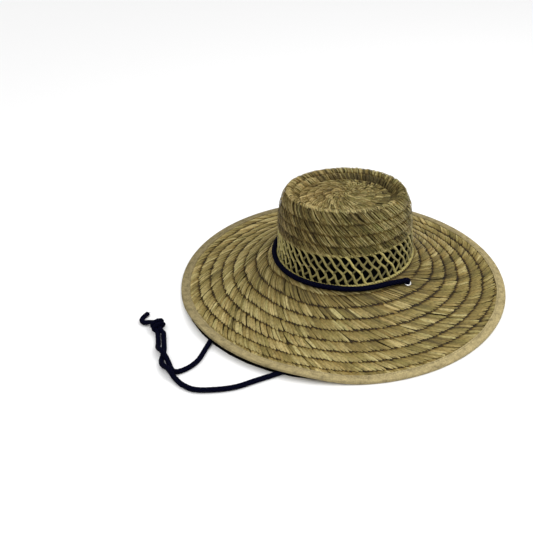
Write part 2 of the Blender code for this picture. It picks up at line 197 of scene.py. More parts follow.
CORD_UNDER_EYELET = (4.8 * MM, 12.0 * MM)
KNOT_CENTRE = np.array((-230.1, -124.2, 6.9)) * MM
KNOT_TURN = math.radians(118.0)
KNOT_STRAND_SHARE = 0.96
BRAID_LOBES = 4
BRAID_TWIST = 1.1
FRAY_YARNS = 26
FRAY_REACH = (1.6, 3.6)
FRAY_THICKNESS = np.linspace(0.32, 0.14, 5) * MM
FRAY_LOWEST = 0.5 * MM

# Strands through the knot, in millimetres
# columns: along the knot, sideways and up from its centre
KNOT_FRONT_STRAND = ((-11.0, -1.6, -0.6), (-3.0, -1.5, 0.4), (6.0, 2.0, 0.6))
KNOT_BACK_STRAND = ((-11.0, 2.9, -1.4), (-3.0, 2.6, -0.8), (5.0, -1.0, -0.9), (11.0, -3.5, -1.5))
KNOT_WRAP_HALF_TURNS = (-0.2, 3.3)
KNOT_WRAP_START = -6.5
KNOT_WRAP_PITCH = 1.25
KNOT_WRAP_WIDTH = 6.3
KNOT_WRAP_SHIFT = 0.8
KNOT_WRAP_HEIGHT = 3.3

# Tape's section on top of the brim and inside the fold, in millimetres
# columns: reach past the weave's edge, rise over its middle, share of ripple
TAPE_RISE = 2.2
TAPE_TOP = (
    (-11.0, 1.85, 1.0),
    (-10.6, TAPE_RISE, 1.0),
    (-9.0, TAPE_RISE, 0.3),
    (-7.0, TAPE_RISE, 0.3),
    (-5.0, TAPE_RISE, 0.3),
    (-3.0, TAPE_RISE, 0.3),
    (-1.4, TAPE_RISE, 0.3),
)
TAPE_INSIDE = (
    (-11.0, -1.4, 0.0),
    (0.1, -1.3, 0.0),
    (0.1, 1.3, 0.0),
    (-11.0, 1.4, 1.0),
)
FOLD_HALF_TURN = math.radians(60.0)
FOLD_CENTRE = -0.9
FOLD_REACH = 2.0
STITCH_REACH = -8.6 * MM
STITCH_STEPS = 6

# Eyelet's rolled flange, then its barrel and lower flange, in millimetres
# columns of the barrel: radius, height
ROLL_CENTRE = (4.6, 2.7)
ROLL_SIZE = (1.1, 0.45)
EYELET_BARREL = (
    (3.5, 2.2),
    (3.5, -1.6),
    (3.8, -2.15),
    (5.6, -2.2),
    (5.7, -1.8),
    (5.5, -1.45),
    (4.1, -1.4),
    (4.1, 2.2),
    (4.6, 2.25),
)

# Form and shading of a blade, as shares of its length, width or height
ROOT_WIDTH = 0.82
RISEN_AT = 0.5
DIP_FROM = 0.76
TIP_ROUND_TO = 1.02
# Where the painted highlight towards a blade's tip starts, and the stretch it takes
HIGHLIGHT_FROM = 0.4
HIGHLIGHT_OVER = 0.45
TIP_SHADE_FROM = 0.92
MOST_UNEVEN = 0.7
DEEPEST_SHADE = 0.97

# Tones and hues of neighbouring blades
BLADES_IN_LEAF = 3
BLADES_IN_DRIFT = 25
OWN_TONE, LEAF_TONE, DRIFT_TONE = 0.75, 0.5, 0.35
OWN_HUE, LEAF_HUE = 0.11, 0.08
BRIGHT_GAIN = (0.15, 0.4)

# How far the blades stand off the wall's middle: floor and relief
OUTER_BRIM_LAYER = (0.5 * MM, 1.25 * MM)
OUTER_CROWN_LAYER = (0.5 * MM, 1.1 * MM)
INNER_LAYER = (0.35 * MM, 0.75 * MM)
HIGHEST_BLADE = 3.0 * MM
HIGHEST_UNDER_TAPE = 0.75 * MM

# Finish of the brim's rows, by distance from the crown
# pairs: where a change starts and the stretch that it takes
SHADED_ROWS = (18.0 * MM, 24.0 * MM)
ROWS_BY_CROWN = (8.0 * MM, 10.0 * MM)
ROWS_BY_TAPE = (BRIM_WIDTH - TAPE_WIDTH - 9.0 * MM, 5.0 * MM)
ROWS_UNDER_TAPE = (BRIM_WIDTH - TAPE_WIDTH - 3.0 * MM, 3.0 * MM)
SHADE_DEPTH = 0.19
SHADE_CONTRAST = 0.5
# How much darker the brim's blades are towards the right, and the turn of that side from the right back
BRIM_DARKENING = 0.13
BRIM_DARKENING_TURN = 0.7
WIDE_ROW = 16.3 * MM
WIDE_ROW_FADE = 0.7 * MM
EDGE_MARGIN = 2.0 * MM
SHORTEST_BLADE = 4.0 * MM
FINE_BLADES = 0.5
FINE_TURNS = 1.0
FINE_FADE_TURNS = 2.2

# Rings of the crown
FEWEST_RING_BLADES = 14
RING_BLADE_SPREAD = (0.65, 1.35)
SMALLEST_LEAN_RADIUS = 18.0 * MM
LEFT_YELLOWING = 0.3
# How much fainter the painted row-line shade is at the front of the crown's top
FRONT_TOP_LINE_FADE = 0.65

# Openwork band, as shares of its height and of its columns
STRAND_SPAN = (-0.05, 1.09)
BRIDGE_LEVELS = (0.17, 0.455, 0.735)
BRIDGE_CLIMB = 0.18
STRAND_SWAY = 0.95 * MM
LAID_TURNS = 76

# Stage
FLOOR_RADII = (0.0, 0.4, 1.2, 3.0, 9.0)
# Near-black disc on the floor under the crown: painted shadow inside the hat and under the lifted rim
SHADOW_DISC_RADII = (0.0, 0.07, 0.14, 0.2187)
SHADOW_DISC_HEIGHT = 0.02 * MM
KEY_PLACE, KEY_SIZE = (0.95, -0.15, 1.35), (0.7, 0.7)
FILL_PLACE, FILL_SIZE = (-0.1, -0.95, 1.5), (1.2, 0.7)
SKY_STOPS = ((0.0, 0.04), (0.4, 0.12), (0.8, 1.0))

# Seeds of the random draws
BRIM_SEED, UNDERSIDE_SEED = 11, 12
CROWN_SIDE_SEED, CROWN_TOP_SEED = 21, 31
BAND_SEED = 41
TAPE_SEED = 51
FRAY_SEED = 7


# The middle surface of the woven wall, for arrays of distances and angles
def smooth_step(x):
    x = np.clip(x, 0.0, 1.0)
    return x * x * (3.0 - 2.0 * x)


def fade_out(value, start, over):
    """1 up to a start, then smoothly down to 0 over a stretch."""
    return 1 - smooth_step((value - start) / over)


def smooth_between(u, start, end, lean_start, lean_end):
    """Values from a start to an end, with a given lean at each."""
    value = start * ((1 - u) ** 2 * (1 + 2 * u)) + end * (u * u * (3 - 2 * u))
    return value + lean_start * (u * (1 - u) ** 2) + lean_end * (u * u * (u - 1))


def run_along(points):
    """Distance of each point along a line of points."""
    return np.concatenate([[0.0], np.cumsum(np.linalg.norm(np.diff(points, axis=0), axis=1))])


CROWN_STOPS = run_along(CROWN_SECTIONS[:, (0, 2)])
BAND_FOOT = CROWN_STOPS[BAND_FOOT_SECTION]
BAND_HEAD = CROWN_STOPS[BAND_HEAD_SECTION]
CROWN_TOP = CROWN_STOPS[-1]

# Row lines of the crown, as distances up its profile, each list from the top down
CREST_LINE = CROWN_STOPS[CREST_SECTION] - 1.5 * MM
SIDE_LINES = np.linspace(CREST_LINE, BAND_HEAD, 5)
DOME_LINES = np.concatenate([[CROWN_TOP - 0.8 * MM], np.linspace(CROWN_TOP - 7.4 * MM, CREST_LINE, 8)])


def crown_values(distance):
    """Half width, depth over width and height of the crown at distances up its profile."""
    last = len(CROWN_STOPS) - 1
    index = np.clip(np.searchsorted(CROWN_STOPS, distance, side="right") - 1, 0, last - 1)
    before = np.maximum(np.arange(last + 1) - 1, 0)
    after = np.minimum(np.arange(last + 1) + 1, last)
    reach = (CROWN_STOPS[after] - CROWN_STOPS[before])[:, None]
    slopes = (CROWN_SECTIONS[after] - CROWN_SECTIONS[before]) / reach
    span = (CROWN_STOPS[index + 1] - CROWN_STOPS[index])[..., None]
    u = (distance - CROWN_STOPS[index])[..., None] / span
    start, end = CROWN_SECTIONS[index], CROWN_SECTIONS[index + 1]
    value = smooth_between(u, start, end, span * slopes[index], span * slopes[index + 1])
    return value[..., 0], value[..., 1], value[..., 2]


def rim_lift(angle):
    """Height of the lifted stretch of rim at the left front."""
    angle = np.arctan2(np.sin(angle), np.cos(angle))
    rising = smooth_step((angle - LIFT_START) / (LIFT_FULL_FROM - LIFT_START))
    falling = smooth_step((LIFT_END - angle) / (LIFT_END - LIFT_FULL_TO))
    return LIFT_HEIGHT * np.where(angle < LIFT_FULL_TO, rising, falling)


def brim_points(outward, angle, edge_offset=0.0):
    """Points of the brim, from 0 at the crown's base to 1 at the edge of the weave."""
    edge = WEAVE_EDGE_RADIUS + RIM_OVAL * np.cos(2 * (angle - RIM_OVAL_ANGLE)) + edge_offset
    across = BASE_HALF_WIDTH * (1 - outward) + edge * outward
    ratio = BASE_DEPTH_RATIO * (1 - outward) + outward
    slope_part = np.maximum(0.0, 1 - outward / BRIM_FLAT_FROM) ** BRIM_CURVE
    height = RIM_HEIGHT + BRIM_RISE * slope_part + rim_lift(angle) * outward ** 2
    x = CROWN_SHIFT_X * (1 - outward) + across * np.cos(angle)
    return np.stack([x, across * ratio * np.sin(angle), height + 0 * x], -1)


def middle_points(distance, angle):
    """Points of the wall's middle surface: brim at negative distances, crown at positive ones."""
    distance, angle = np.broadcast_arrays(np.asarray(distance, float), np.asarray(angle, float))
    brim = brim_points(np.maximum(-distance / BRIM_WIDTH, 0.0), angle)
    half_width, ratio, height = crown_values(np.maximum(distance, 0.0))
    x = CROWN_SHIFT_X + half_width * np.cos(angle)
    crown = np.stack([x, half_width * ratio * np.sin(angle), height], -1)
    return np.where((distance < 0)[..., None], brim, crown)


def unit(vectors):
    return vectors / np.maximum(np.linalg.norm(vectors, axis=-1, keepdims=True), 1e-12)


def surface_normals(distance, angle):
    """Directions out of the hat at points of the middle surface."""
    step = 1.5 * MM
    turn = math.radians(0.5)
    distance = np.minimum(np.asarray(distance, float), CROWN_TOP - 2 * step)
    below = middle_points(np.maximum(distance - step, -BRIM_WIDTH), angle)
    along = middle_points(distance + step, angle) - below
    around = middle_points(distance, angle + turn) - middle_points(distance, angle - turn)
    return unit(np.cross(around, along))


def wall_points(distance, angle, offset):
    """Points at an offset from the wall's middle surface."""
    distance, angle = np.broadcast_arrays(np.asarray(distance, float), np.asarray(angle, float))
    return middle_points(distance, angle) + surface_normals(distance, angle) * np.asarray(offset)[..., None]


def column_angle(column):
    return 2 * math.pi * (BAND_START_COLUMNS + column) / BAND_COLUMNS


def eyelet_place(side):
    """Middle of the wall under an eyelet and the direction out of the brim there."""
    angle = side * EYELET_ANGLE
    return middle_points(-EYELET_FROM_CROWN, angle), surface_normals(-EYELET_FROM_CROWN, angle)


# Mesh helpers
class MeshParts:
    """Points, faces, places and per-point values of one mesh, gathered piece by piece."""

    def __init__(self):
        self.points = []
        self.corners = []
        self.sizes = []
        self.places = []
        self.values = {}
        self.count = 0

    def add(self, points, faces, places, **values):
        points = points.reshape(-1, 3)
        self.points.append(points)
        self.corners.append((faces + self.count).ravel())
        self.sizes.append(np.full(len(faces), faces.shape[1]))
        self.places.append(places.reshape(-1, 2))
        for name, value in values.items():
            value = np.broadcast_to(np.asarray(value, float).ravel(), (len(points),))
            self.values.setdefault(name, []).append(value)
        self.count += len(points)

    def build(self, name, material, node, slot):
        """Mesh object that stands for a node of the solid part and rides on its body."""
        points = np.concatenate(self.points)
        corners = np.concatenate(self.corners)
        sizes = np.concatenate(self.sizes)
        mesh = bpy.data.meshes.new(name)
        mesh.vertices.add(len(points))
        mesh.vertices.foreach_set("co", points.ravel())
        mesh.loops.add(len(corners))
        mesh.loops.foreach_set("vertex_index", corners)
        mesh.polygons.add(len(sizes))
        mesh.polygons.foreach_set("loop_start", np.cumsum(sizes) - sizes)
        mesh.update(calc_edges=True)
        layer = mesh.uv_layers.new(name="places")
        layer.uv.foreach_set("vector", np.concatenate(self.places)[corners].ravel())
        for key, value in self.values.items():
            attribute = mesh.attributes.new(key, "FLOAT", "POINT")
            attribute.data.foreach_set("value", np.concatenate(value))
        mesh.shade_smooth()
        mesh.materials.append(material)
        item = bpy.data.objects.new(name, mesh)
        bpy.context.scene.collection.objects.link(item)
        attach(item, "root")
        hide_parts(node)
        return item


def grid_faces(strips, along, across, flip=False):
    """Quads of many equal grids of points, one after another."""
    i, j = np.meshgrid(np.arange(along - 1), np.arange(across - 1), indexing="ij")
    first = i * across + j
    quads = np.stack([first, first + across, first + across + 1, first + 1], -1).reshape(-1, 4)
    if flip:
        quads = quads[:, ::-1]
    starts = np.arange(strips) * along * across
    return (quads[None] + starts[:, None, None]).reshape(-1, 4)


def ring_places(along, across, length):
    """Places on a tube: turns round it and metres along it."""
    u, v = np.meshgrid(np.linspace(0, length, along), np.linspace(0, 1, across), indexing="ij")
    return np.stack([v, u], -1)


def sweep(centre, side_axis, up_axis, half_width, half_height, sides, ripple=0.0, lobes=0, twist=0.0):
    """Tube round a line of points, its seam underneath; lobes and twist give it a laid surface."""
    phi = np.linspace(0, 2 * math.pi, sides + 1) - math.pi / 2
    steps = np.arange(len(centre))[:, None]
    swell = 1 + ripple * np.cos(lobes * phi[None] + twist * steps)
    wide = np.broadcast_to(np.asarray(half_width, float), (len(centre),))[:, None] * swell * np.cos(phi)
    high = np.broadcast_to(np.asarray(half_height, float), (len(centre),))[:, None] * swell * np.sin(phi)
    return centre[:, None] + side_axis[:, None] * wide[..., None] + up_axis[:, None] * high[..., None]


def add_tube(parts, centre, side_axis, up_axis, half_width, half_height, sides, closed=False, **look):
    """Add a tube to a mesh, with capped ends unless it is closed on itself."""
    surface = {key: look.pop(key) for key in ("ripple", "lobes", "twist") if key in look}
    points = sweep(centre, side_axis, up_axis, half_width, half_height, sides, **surface)
    faces = grid_faces(1, len(centre), sides + 1, flip=True)
    parts.add(points, faces, ring_places(len(centre), sides + 1, run_along(centre)[-1]), **look)
    if closed:
        return
    i = np.arange(sides)
    fan = np.stack([i, (i + 1) % sides, np.full(sides, sides)], -1)
    for end, order in ((0, -1), (-1, 1)):
        cap = np.concatenate([points[end, :sides], centre[end][None]])
        parts.add(cap, fan[:, ::order], np.zeros((sides + 1, 2)), **look)


def carried_axes(centre):
    """Side and up directions carried along a line of points without turning round it."""
    tangent = unit(np.gradient(centre, axis=0))
    side = np.empty_like(tangent)
    first = np.cross((0.0, 0.0, 1.0), tangent[0])
    if np.linalg.norm(first) < 0.1:
        first = np.cross((0.0, 1.0, 0.0), tangent[0])
    side[0] = unit(first)
    for i in range(1, len(centre)):
        carried = side[i - 1] - tangent[i] * np.dot(side[i - 1], tangent[i])
        side[i] = unit(carried)
    return side, np.cross(tangent, side)


def clear_of_eyelets(points, faces):
    """Faces that leave the two eyelet holes open."""
    middle = points.reshape(-1, 3)[faces].mean(axis=1)
    keep = np.ones(len(faces), bool)
    for side in (-1, 1):
        place, normal = eyelet_place(side)
        reach = middle - place
        flat = reach - (reach @ normal)[:, None] * normal
        keep &= np.linalg.norm(flat, axis=1) > EYELET_CLEAR_RADIUS
    return faces[keep]


# Woven blades
def even_rows():
    """Spacing and start of the brim's rows at each degree round the hat, without kinks."""
    degrees = np.arange(360.0)
    window = np.hanning(25)
    window = window / window.sum()
    curves = []
    for column in (1, 2):
        curve = np.interp(degrees, BRIM_ROWS[:, 0], BRIM_ROWS[:, column], period=360.0)
        curves.append(np.convolve(np.tile(curve, 3), window, "same")[360:720] * MM)
    return curves


ROW_SPACING, ROW_START = even_rows()


def row_line(turns, angle):
    """Distance from the crown of the brim's spiral line after a number of turns."""
    degrees = np.degrees(angle)
    spacing = np.interp(degrees, np.arange(360.0), ROW_SPACING, period=360.0)
    return np.interp(degrees, np.arange(360.0), ROW_START, period=360.0) + spacing * turns


def lay_blades(parts, plan, settings, along, across, side=1.0):
    """Add slanted blades to a mesh: each rises from under the row before it and dips at its tip."""
    rng = plan["rng"]
    count = len(plan["width"])
    loose = plan.get("loose", 1.0)
    u = np.linspace(0.0, 1.0, along)
    v = np.linspace(-1.0, 1.0, across)
    distance = plan["root"][:, None] + (plan["tip"] - plan["root"])[:, None] * u
    angle = plan["root_angle"][:, None] + (plan["tip_angle"] - plan["root_angle"])[:, None] * u
    bow = rng.normal(0.0, settings.bow * loose, count)[:, None] * np.sin(math.pi * u)
    centre = middle_points(distance, angle)
    normal = surface_normals(distance, angle)
    tangent = unit(np.gradient(centre, axis=1))
    sideways = unit(np.cross(normal, tangent))
    tip_reach = (u - settings.tip_from) / (TIP_ROUND_TO - settings.tip_from)
    round_tip = np.sqrt(np.clip(1 - tip_reach ** 2, 0, 1))
    risen = smooth_step(u / RISEN_AT)
    outline = np.where(u > settings.tip_from, round_tip, 1.0) * (ROOT_WIDTH + (1 - ROOT_WIDTH) * risen)
    half_width = plan["width"][:, None] * outline
    rise = risen * (1 - settings.tip_dip * smooth_step((u - DIP_FROM) / (1 - DIP_FROM)))
    uneven = np.clip(rng.normal(0.0, settings.unevenness * loose, count), -MOST_UNEVEN, MOST_UNEVEN)
    height = plan["floor"] + (plan["relief"] * (1 + uneven))[:, None] * rise
    if "ceiling" in plan:
        height = np.minimum(height, plan["ceiling"](distance))
    roll = rng.normal(0.0, settings.roll * loose, count)
    arch = settings.arch * half_width[..., None] * (1 - v ** 2)
    lift = height[..., None] + arch + (roll[:, None] * half_width)[..., None] * v
    sway = half_width[..., None] * v + bow[..., None]
    points = centre[:, :, None] + sideways[:, :, None] * sway[..., None]
    points = points + side * normal[:, :, None] * lift[..., None]
    faces = grid_faces(count, along, across, flip=side < 0)
    if plan.get("eyelets"):
        faces = clear_of_eyelets(points, faces)
    # Painted highlight: each blade paler towards its tip
    painted_highlight = settings.tip_highlight * smooth_step((u - HIGHLIGHT_FROM) / HIGHLIGHT_OVER)
    tone = plan["tone"][:, None, None] + painted_highlight[None, :, None] + 0 * lift
    hue = plan["hue"][:, None, None] + 0 * lift
    # Painted shade where a blade comes out from under a row, at its tip and along its edges
    line = np.broadcast_to(plan["line"], (count,))[:, None] * settings.root_shade
    root_shade = line * fade_out(u, settings.line_from, settings.line_fade)
    tip_shade = settings.tip_shade * smooth_step((u - TIP_SHADE_FROM) / (1 - TIP_SHADE_FROM))
    edge_shade = settings.edge_shade * np.abs(v) ** 3
    shade = 1 - np.clip((root_shade + tip_shade)[..., None] + edge_shade, 0, DEEPEST_SHADE)
    offset = rng.uniform(0, 50, (count, 1, 1, 2))
    place = np.stack(np.broadcast_arrays(u[None, :, None], (v * 0.5)[None, None]), -1) + offset
    parts.add(points, faces, place, tone=tone, hue=hue, shade=shade)


def blade_tones(rng, count, settings, loose=1.0):
    """Tone and hue of each blade; neighbours from one leaf share much of theirs."""
    leaf = np.repeat(rng.normal(0.0, 1.0, count // BLADES_IN_LEAF + 1), BLADES_IN_LEAF)[:count]
    window = np.ones(BLADES_IN_DRIFT) / math.sqrt(BLADES_IN_DRIFT)
    drift = np.convolve(rng.normal(0.0, 1.0, count + BLADES_IN_DRIFT - 1), window, "valid")
    own = rng.normal(0.0, 1.0, count)
    spread = settings.tone_spread * loose
    tone = 0.5 + spread * (OWN_TONE * own + LEAF_TONE * leaf + DRIFT_TONE * drift)
    bright = rng.random(count) < settings.bright_share
    tone = np.where(bright, tone + rng.uniform(*BRIGHT_GAIN, count), tone)
    hue = 0.5 + OWN_HUE * rng.normal(0.0, 1.0, count) + LEAF_HUE * leaf
    return np.clip(tone, 0.02, 1.0), np.clip(hue, 0.0, 1.0)


def brim_spots(settings, rng):
    """Turns along the spiral and spacing of each brim blade, finer beside the crown."""
    turns = settings.first_turn
    spots = []
    while turns < BRIM_WIDTH / ROW_SPACING.min() + 1:
        wide = rng.uniform(settings.blade_narrow, settings.blade_wide)
        coarse = float(smooth_step((turns - FINE_TURNS) / FINE_FADE_TURNS))
        wide *= FINE_BLADES + (1 - FINE_BLADES) * coarse
        turns += wide / (2 * math.pi * (BASE_HALF_WIDTH + turns * settings.brim_pitch))
        spots.append((turns, wide))
    return np.array(spots).T


def brim_ceiling(distance):
    """Greatest height of the brim's blades, lower where the tape lies over them."""
    clear_of_tape = fade_out(-distance, *ROWS_UNDER_TAPE)
    return HIGHEST_BLADE * clear_of_tape + HIGHEST_UNDER_TAPE * (1 - clear_of_tape)


def brim_plan(settings, seed, floor, relief):
    """Blades of the brim, one after another along a single spiral of rows."""
    rng = np.random.default_rng(seed)
    turns, wide = brim_spots(settings, rng)
    tip_angle = settings.spiral_start + 2 * math.pi * turns
    tip = row_line(turns, tip_angle)
    row = tip - row_line(turns - 1, tip_angle)
    lean = settings.brim_lean * (1 + rng.normal(0.0, 0.05, len(turns))) * row / settings.brim_pitch
    turned = lean / (BASE_HALF_WIDTH + tip - 0.5 * row)
    root = row_line(turns - 1 - turned / (2 * math.pi), tip_angle - turned)
    root = np.maximum(root - settings.tuck, 0.0)
    tip = tip + settings.tuck + rng.normal(0.0, settings.tip_scatter, len(turns))
    edge = BRIM_WIDTH - EDGE_MARGIN
    kept = (root < edge - EDGE_MARGIN) & (tip > root + SHORTEST_BLADE)
    tone, hue = blade_tones(rng, len(turns), settings)
    # Brim blades darker towards the right, a little to the front
    tone = tone - BRIM_DARKENING * np.clip(np.cos(tip_angle - RIGHT_BACK_ANGLE + BRIM_DARKENING_TURN), 0.0, 1.0)
    front = np.clip(-np.sin(tip_angle), 0.0, 1.0)
    shaded = front * fade_out(root, *SHADED_ROWS)
    tone = tone + shaded * (SHADE_CONTRAST * (tone - 0.5) - SHADE_DEPTH)
    beside_crown = front * fade_out(root, *ROWS_BY_CROWN)
    beside_tape = 1 - fade_out(root, *ROWS_BY_TAPE)
    close_rows = smooth_step((WIDE_ROW - row) / WIDE_ROW_FADE)
    line = (1 - 0.9 * beside_tape * close_rows) * (1 - 0.6 * beside_crown)
    slant = settings.brim_pitch / math.hypot(settings.brim_pitch, settings.brim_lean)
    return {
        "rng": rng,
        "root": -root[kept],
        "tip": -np.minimum(tip, edge)[kept],
        "root_angle": (tip_angle - turned)[kept],
        "tip_angle": tip_angle[kept],
        "width": (0.5 * wide * slant * settings.cover)[kept],
        "floor": floor,
        "relief": relief,
        "tone": tone[kept],
        "hue": hue[kept],
        "line": line[kept],
        "ceiling": brim_ceiling,
        "eyelets": True,
    }


def painted_crown_shading(distance, angle):
    """Painted highlight on the crown's crest at the left front, painted shade in the channel at the right
    back, and painted light and shade on the side: lighter towards the right back, darker towards the left
    front.
    """
    crest, lip, channel, edge = CROWN_STOPS[CREST_SECTION:CREST_SECTION + 4]
    crest_highlight = np.interp(distance, (crest - 6.0 * MM, crest, crest + 6.0 * MM), (0.0, 0.5, 0.0))
    channel_shade_stops = (lip - 4.0 * MM, 0.5 * (lip + channel), channel, edge)
    channel_shade = np.interp(distance, channel_shade_stops, (0.0, 0.6, 0.5, 0.0))
    side_tone = np.interp(distance, (BAND_HEAD, crest - 8.0 * MM, crest), (0.16, 0.16, 0.0))
    tone = crest_highlight * (0.5 + 0.5 * np.cos(angle - CREST_HIGHLIGHT_ANGLE)) ** 2
    tone = tone - channel_shade * (0.5 + 0.5 * np.cos(angle - RIGHT_BACK_ANGLE))
    return tone + side_tone * np.cos(angle - RIGHT_BACK_ANGLE)


def ring_plan(settings, seed, lines, lean_share, floor, relief, line, loose):
    """Blades of the crown, ring by ring between its row lines, their tips outward."""
    rng = np.random.default_rng(seed)
    columns = {key: [] for key in ("root", "tip", "root_angle", "tip_angle", "width")}
    for inner, outer in zip(lines, lines[1:]):
        middle = 0.5 * (inner + outer)
        radius = float(crown_values(np.array(middle))[0])
        count = max(FEWEST_RING_BLADES, round(2 * math.pi * radius / settings.crown_blade))
        wide = rng.uniform(*RING_BLADE_SPREAD, count)
        wide *= 2 * math.pi / wide.sum()
        tip_angle = np.cumsum(wide) + rng.uniform(0, 1)
        scatter = rng.normal(0.0, 0.4 * MM * loose, count)
        lean = lean_share * (inner - outer) / max(radius, SMALLEST_LEAN_RADIUS)
        slant = 1 / math.hypot(1, lean_share)
        columns["root"].append(np.full(count, min(inner + settings.tuck, CROWN_TOP)))
        columns["tip"].append(outer - settings.tuck + scatter)
        columns["root_angle"].append(tip_angle - lean * (1 + rng.normal(0.0, 0.07, count)))
        columns["tip_angle"].append(tip_angle)
        columns["width"].append(0.5 * wide * radius * slant * settings.crown_cover)
    plan = {key: np.concatenate(value) for key, value in columns.items()}
    tone, hue = blade_tones(rng, len(plan["tip"]), settings, loose)
    # Painted highlight on the crest, painted shade in the channel, painted light and shade on the side
    tone = tone + painted_crown_shading(0.5 * (plan["root"] + plan["tip"]), plan["tip_angle"])
    hue = hue + LEFT_YELLOWING * np.clip(-np.cos(plan["tip_angle"]), 0.0, 1.0)
    near_top = smooth_step((plan["root"] - CREST_LINE + 2.0 * MM) / (2.0 * MM))
    front_of_top = np.clip(-np.sin(plan["tip_angle"]), 0.0, 1.0) * near_top
    # Painted row-line shade fainter towards the front of the crown's top
    line = rng.uniform(*line, len(tone)) * (1 - FRONT_TOP_LINE_FADE * front_of_top)
    plan.update(rng=rng, floor=floor, relief=relief, tone=tone, hue=hue, line=line, loose=loose)
    return plan


# Materials
def new_material(name, roughness, specular=0.5):
    """New material with its tree and its shader, given a plain finish."""
    material = bpy.data.materials.new(name)
    material.use_nodes = True
    tree = material.node_tree
    shader = tree.nodes["Principled BSDF"]
    shader.inputs["Roughness"].default_value = roughness
    shader.inputs["Specular IOR Level"].default_value = specular
    return material, tree, shader


def add_node(tree, kind, **values):
    node = tree.nodes.new(kind)
    for key, value in values.items():
        setattr(node, key, value)
    return node


def ramp(tree, source, stops):
    """Colour ramp over a value; stops hold position and colour, or position and grey."""
    node = add_node(tree, "ShaderNodeValToRGB")
    elements = node.color_ramp.elements
    while len(elements) < len(stops):
        elements.new(0.5)
    for element, (position, colour) in zip(elements, stops):
        element.position = position
        element.color = (*np.broadcast_to(colour, 3), 1.0)
    tree.links.new(source, node.inputs["Fac"])
    return node.outputs["Color"]


def multiply(tree, first, second):
    node = add_node(tree, "ShaderNodeMix", data_type="RGBA", blend_type="MULTIPLY")
    node.inputs["Factor"].default_value = 1.0
    tree.links.new(first, node.inputs["A"])
    tree.links.new(second, node.inputs["B"])
    return node.outputs["Result"]


def paint(tree, shader, colour, *layers):
    """Give a shader a base colour, multiplied by further layers."""
    for layer in layers:
        colour = multiply(tree, colour, layer)
    tree.links.new(colour, shader.inputs["Base Color"])


def point_value(tree, name):
    return add_node(tree, "ShaderNodeAttribute", attribute_name=name).outputs["Fac"]


def stretched_noise(tree, stretch, scale=1.0, detail=4.0):
    """Noise drawn out along one direction of the places on a piece."""
    places = add_node(tree, "ShaderNodeUVMap", uv_map="places")
    mapping = add_node(tree, "ShaderNodeMapping")
    mapping.inputs["Scale"].default_value = (*stretch, 1.0)
    noise = add_node(tree, "ShaderNodeTexNoise")
    noise.inputs["Scale"].default_value = scale
    noise.inputs["Detail"].default_value = detail
    tree.links.new(places.outputs["UV"], mapping.inputs["Vector"])
    tree.links.new(mapping.outputs["Vector"], noise.inputs["Vector"])
    return noise.outputs["Fac"]


def add_bump(tree, shader, height, strength, depth):
    bump = add_node(tree, "ShaderNodeBump")
    bump.inputs["Strength"].default_value = strength
    bump.inputs["Distance"].default_value = depth
    tree.links.new(height, bump.inputs["Height"])
    tree.links.new(bump.outputs["Normal"], shader.inputs["Normal"])


def rush_material(name, settings, gain, green, mottle):
    """Dried rush: a tone and a hue for each blade, fibres along it, specks, and painted shade at its ends
    and edges.
    """
    material, tree, shader = new_material(name, 0.55, 0.18)
    dark, middle, pale = (np.array(c) * gain for c in (settings.dark, settings.middle, settings.pale))
    tone = ramp(tree, point_value(tree, "tone"), ((0.0, dark), (0.5, middle), (1.0, pale)))
    tint = ramp(tree, point_value(tree, "hue"), (
        (0.0, (1 - 0.16 * green, 1 + 0.04 * green, 1 - 0.14 * green)),
        (0.5, (1 - 0.05 * green, 1.0, 1 - 0.05 * green)),
        (1.0, (1.05, 0.96, 0.86)),
    ))
    fibre = stretched_noise(tree, (1.6, 9.0), 1.5)
    streak = ramp(tree, fibre, ((0.3, 0.62), (0.5, 1.0), (0.72, 1.28)))
    speck = stretched_noise(tree, (7.0, 2.0), detail=3.0)
    patch = ramp(tree, speck, ((0.34, 1 - mottle), (0.5, 1.0), (0.68, 1 + 0.6 * mottle)))
    # Colours of the painted shade at row lines, tips and edges
    shade = ramp(tree, point_value(tree, "shade"), (
        (0.0, (0.08, 0.055, 0.012)),
        (0.5, (0.5, 0.41, 0.2)),
        (1.0, 1.0),
    ))
    paint(tree, shader, tone, tint, streak, patch, shade)
    add_bump(tree, shader, fibre, 0.5, 0.4 * MM)
    return material


def core_material():
    """Inner layer painted near-black as shade, which shows between the blades."""
    material, tree, shader = new_material("rush_core", 0.95, 0.05)
    noise = stretched_noise(tree, (220.0, 220.0))
    paint(tree, shader, ramp(tree, noise, ((0.3, (0.014, 0.01, 0.004)), (0.7, (0.045, 0.034, 0.013)))))
    return material


def strand_material(settings):
    """Pale twisted rush of the openwork band."""
    material, tree, shader = new_material("band_rush", 0.5, 0.35)
    base = np.array(settings.colour)
    tone = ramp(tree, point_value(tree, "tone"), ((0.0, base * 0.32), (0.55, base), (1.0, base * 1.45)))
    fibre = stretched_noise(tree, (7.0, 160.0))
    streak = ramp(tree, fibre, ((0.3, (0.6, 0.62, 0.5)), (0.55, 1.0), (0.75, (1.25, 1.2, 1.1))))
    paint(tree, shader, tone, streak)
    add_bump(tree, shader, fibre, 0.5, 0.3 * MM)
    return material


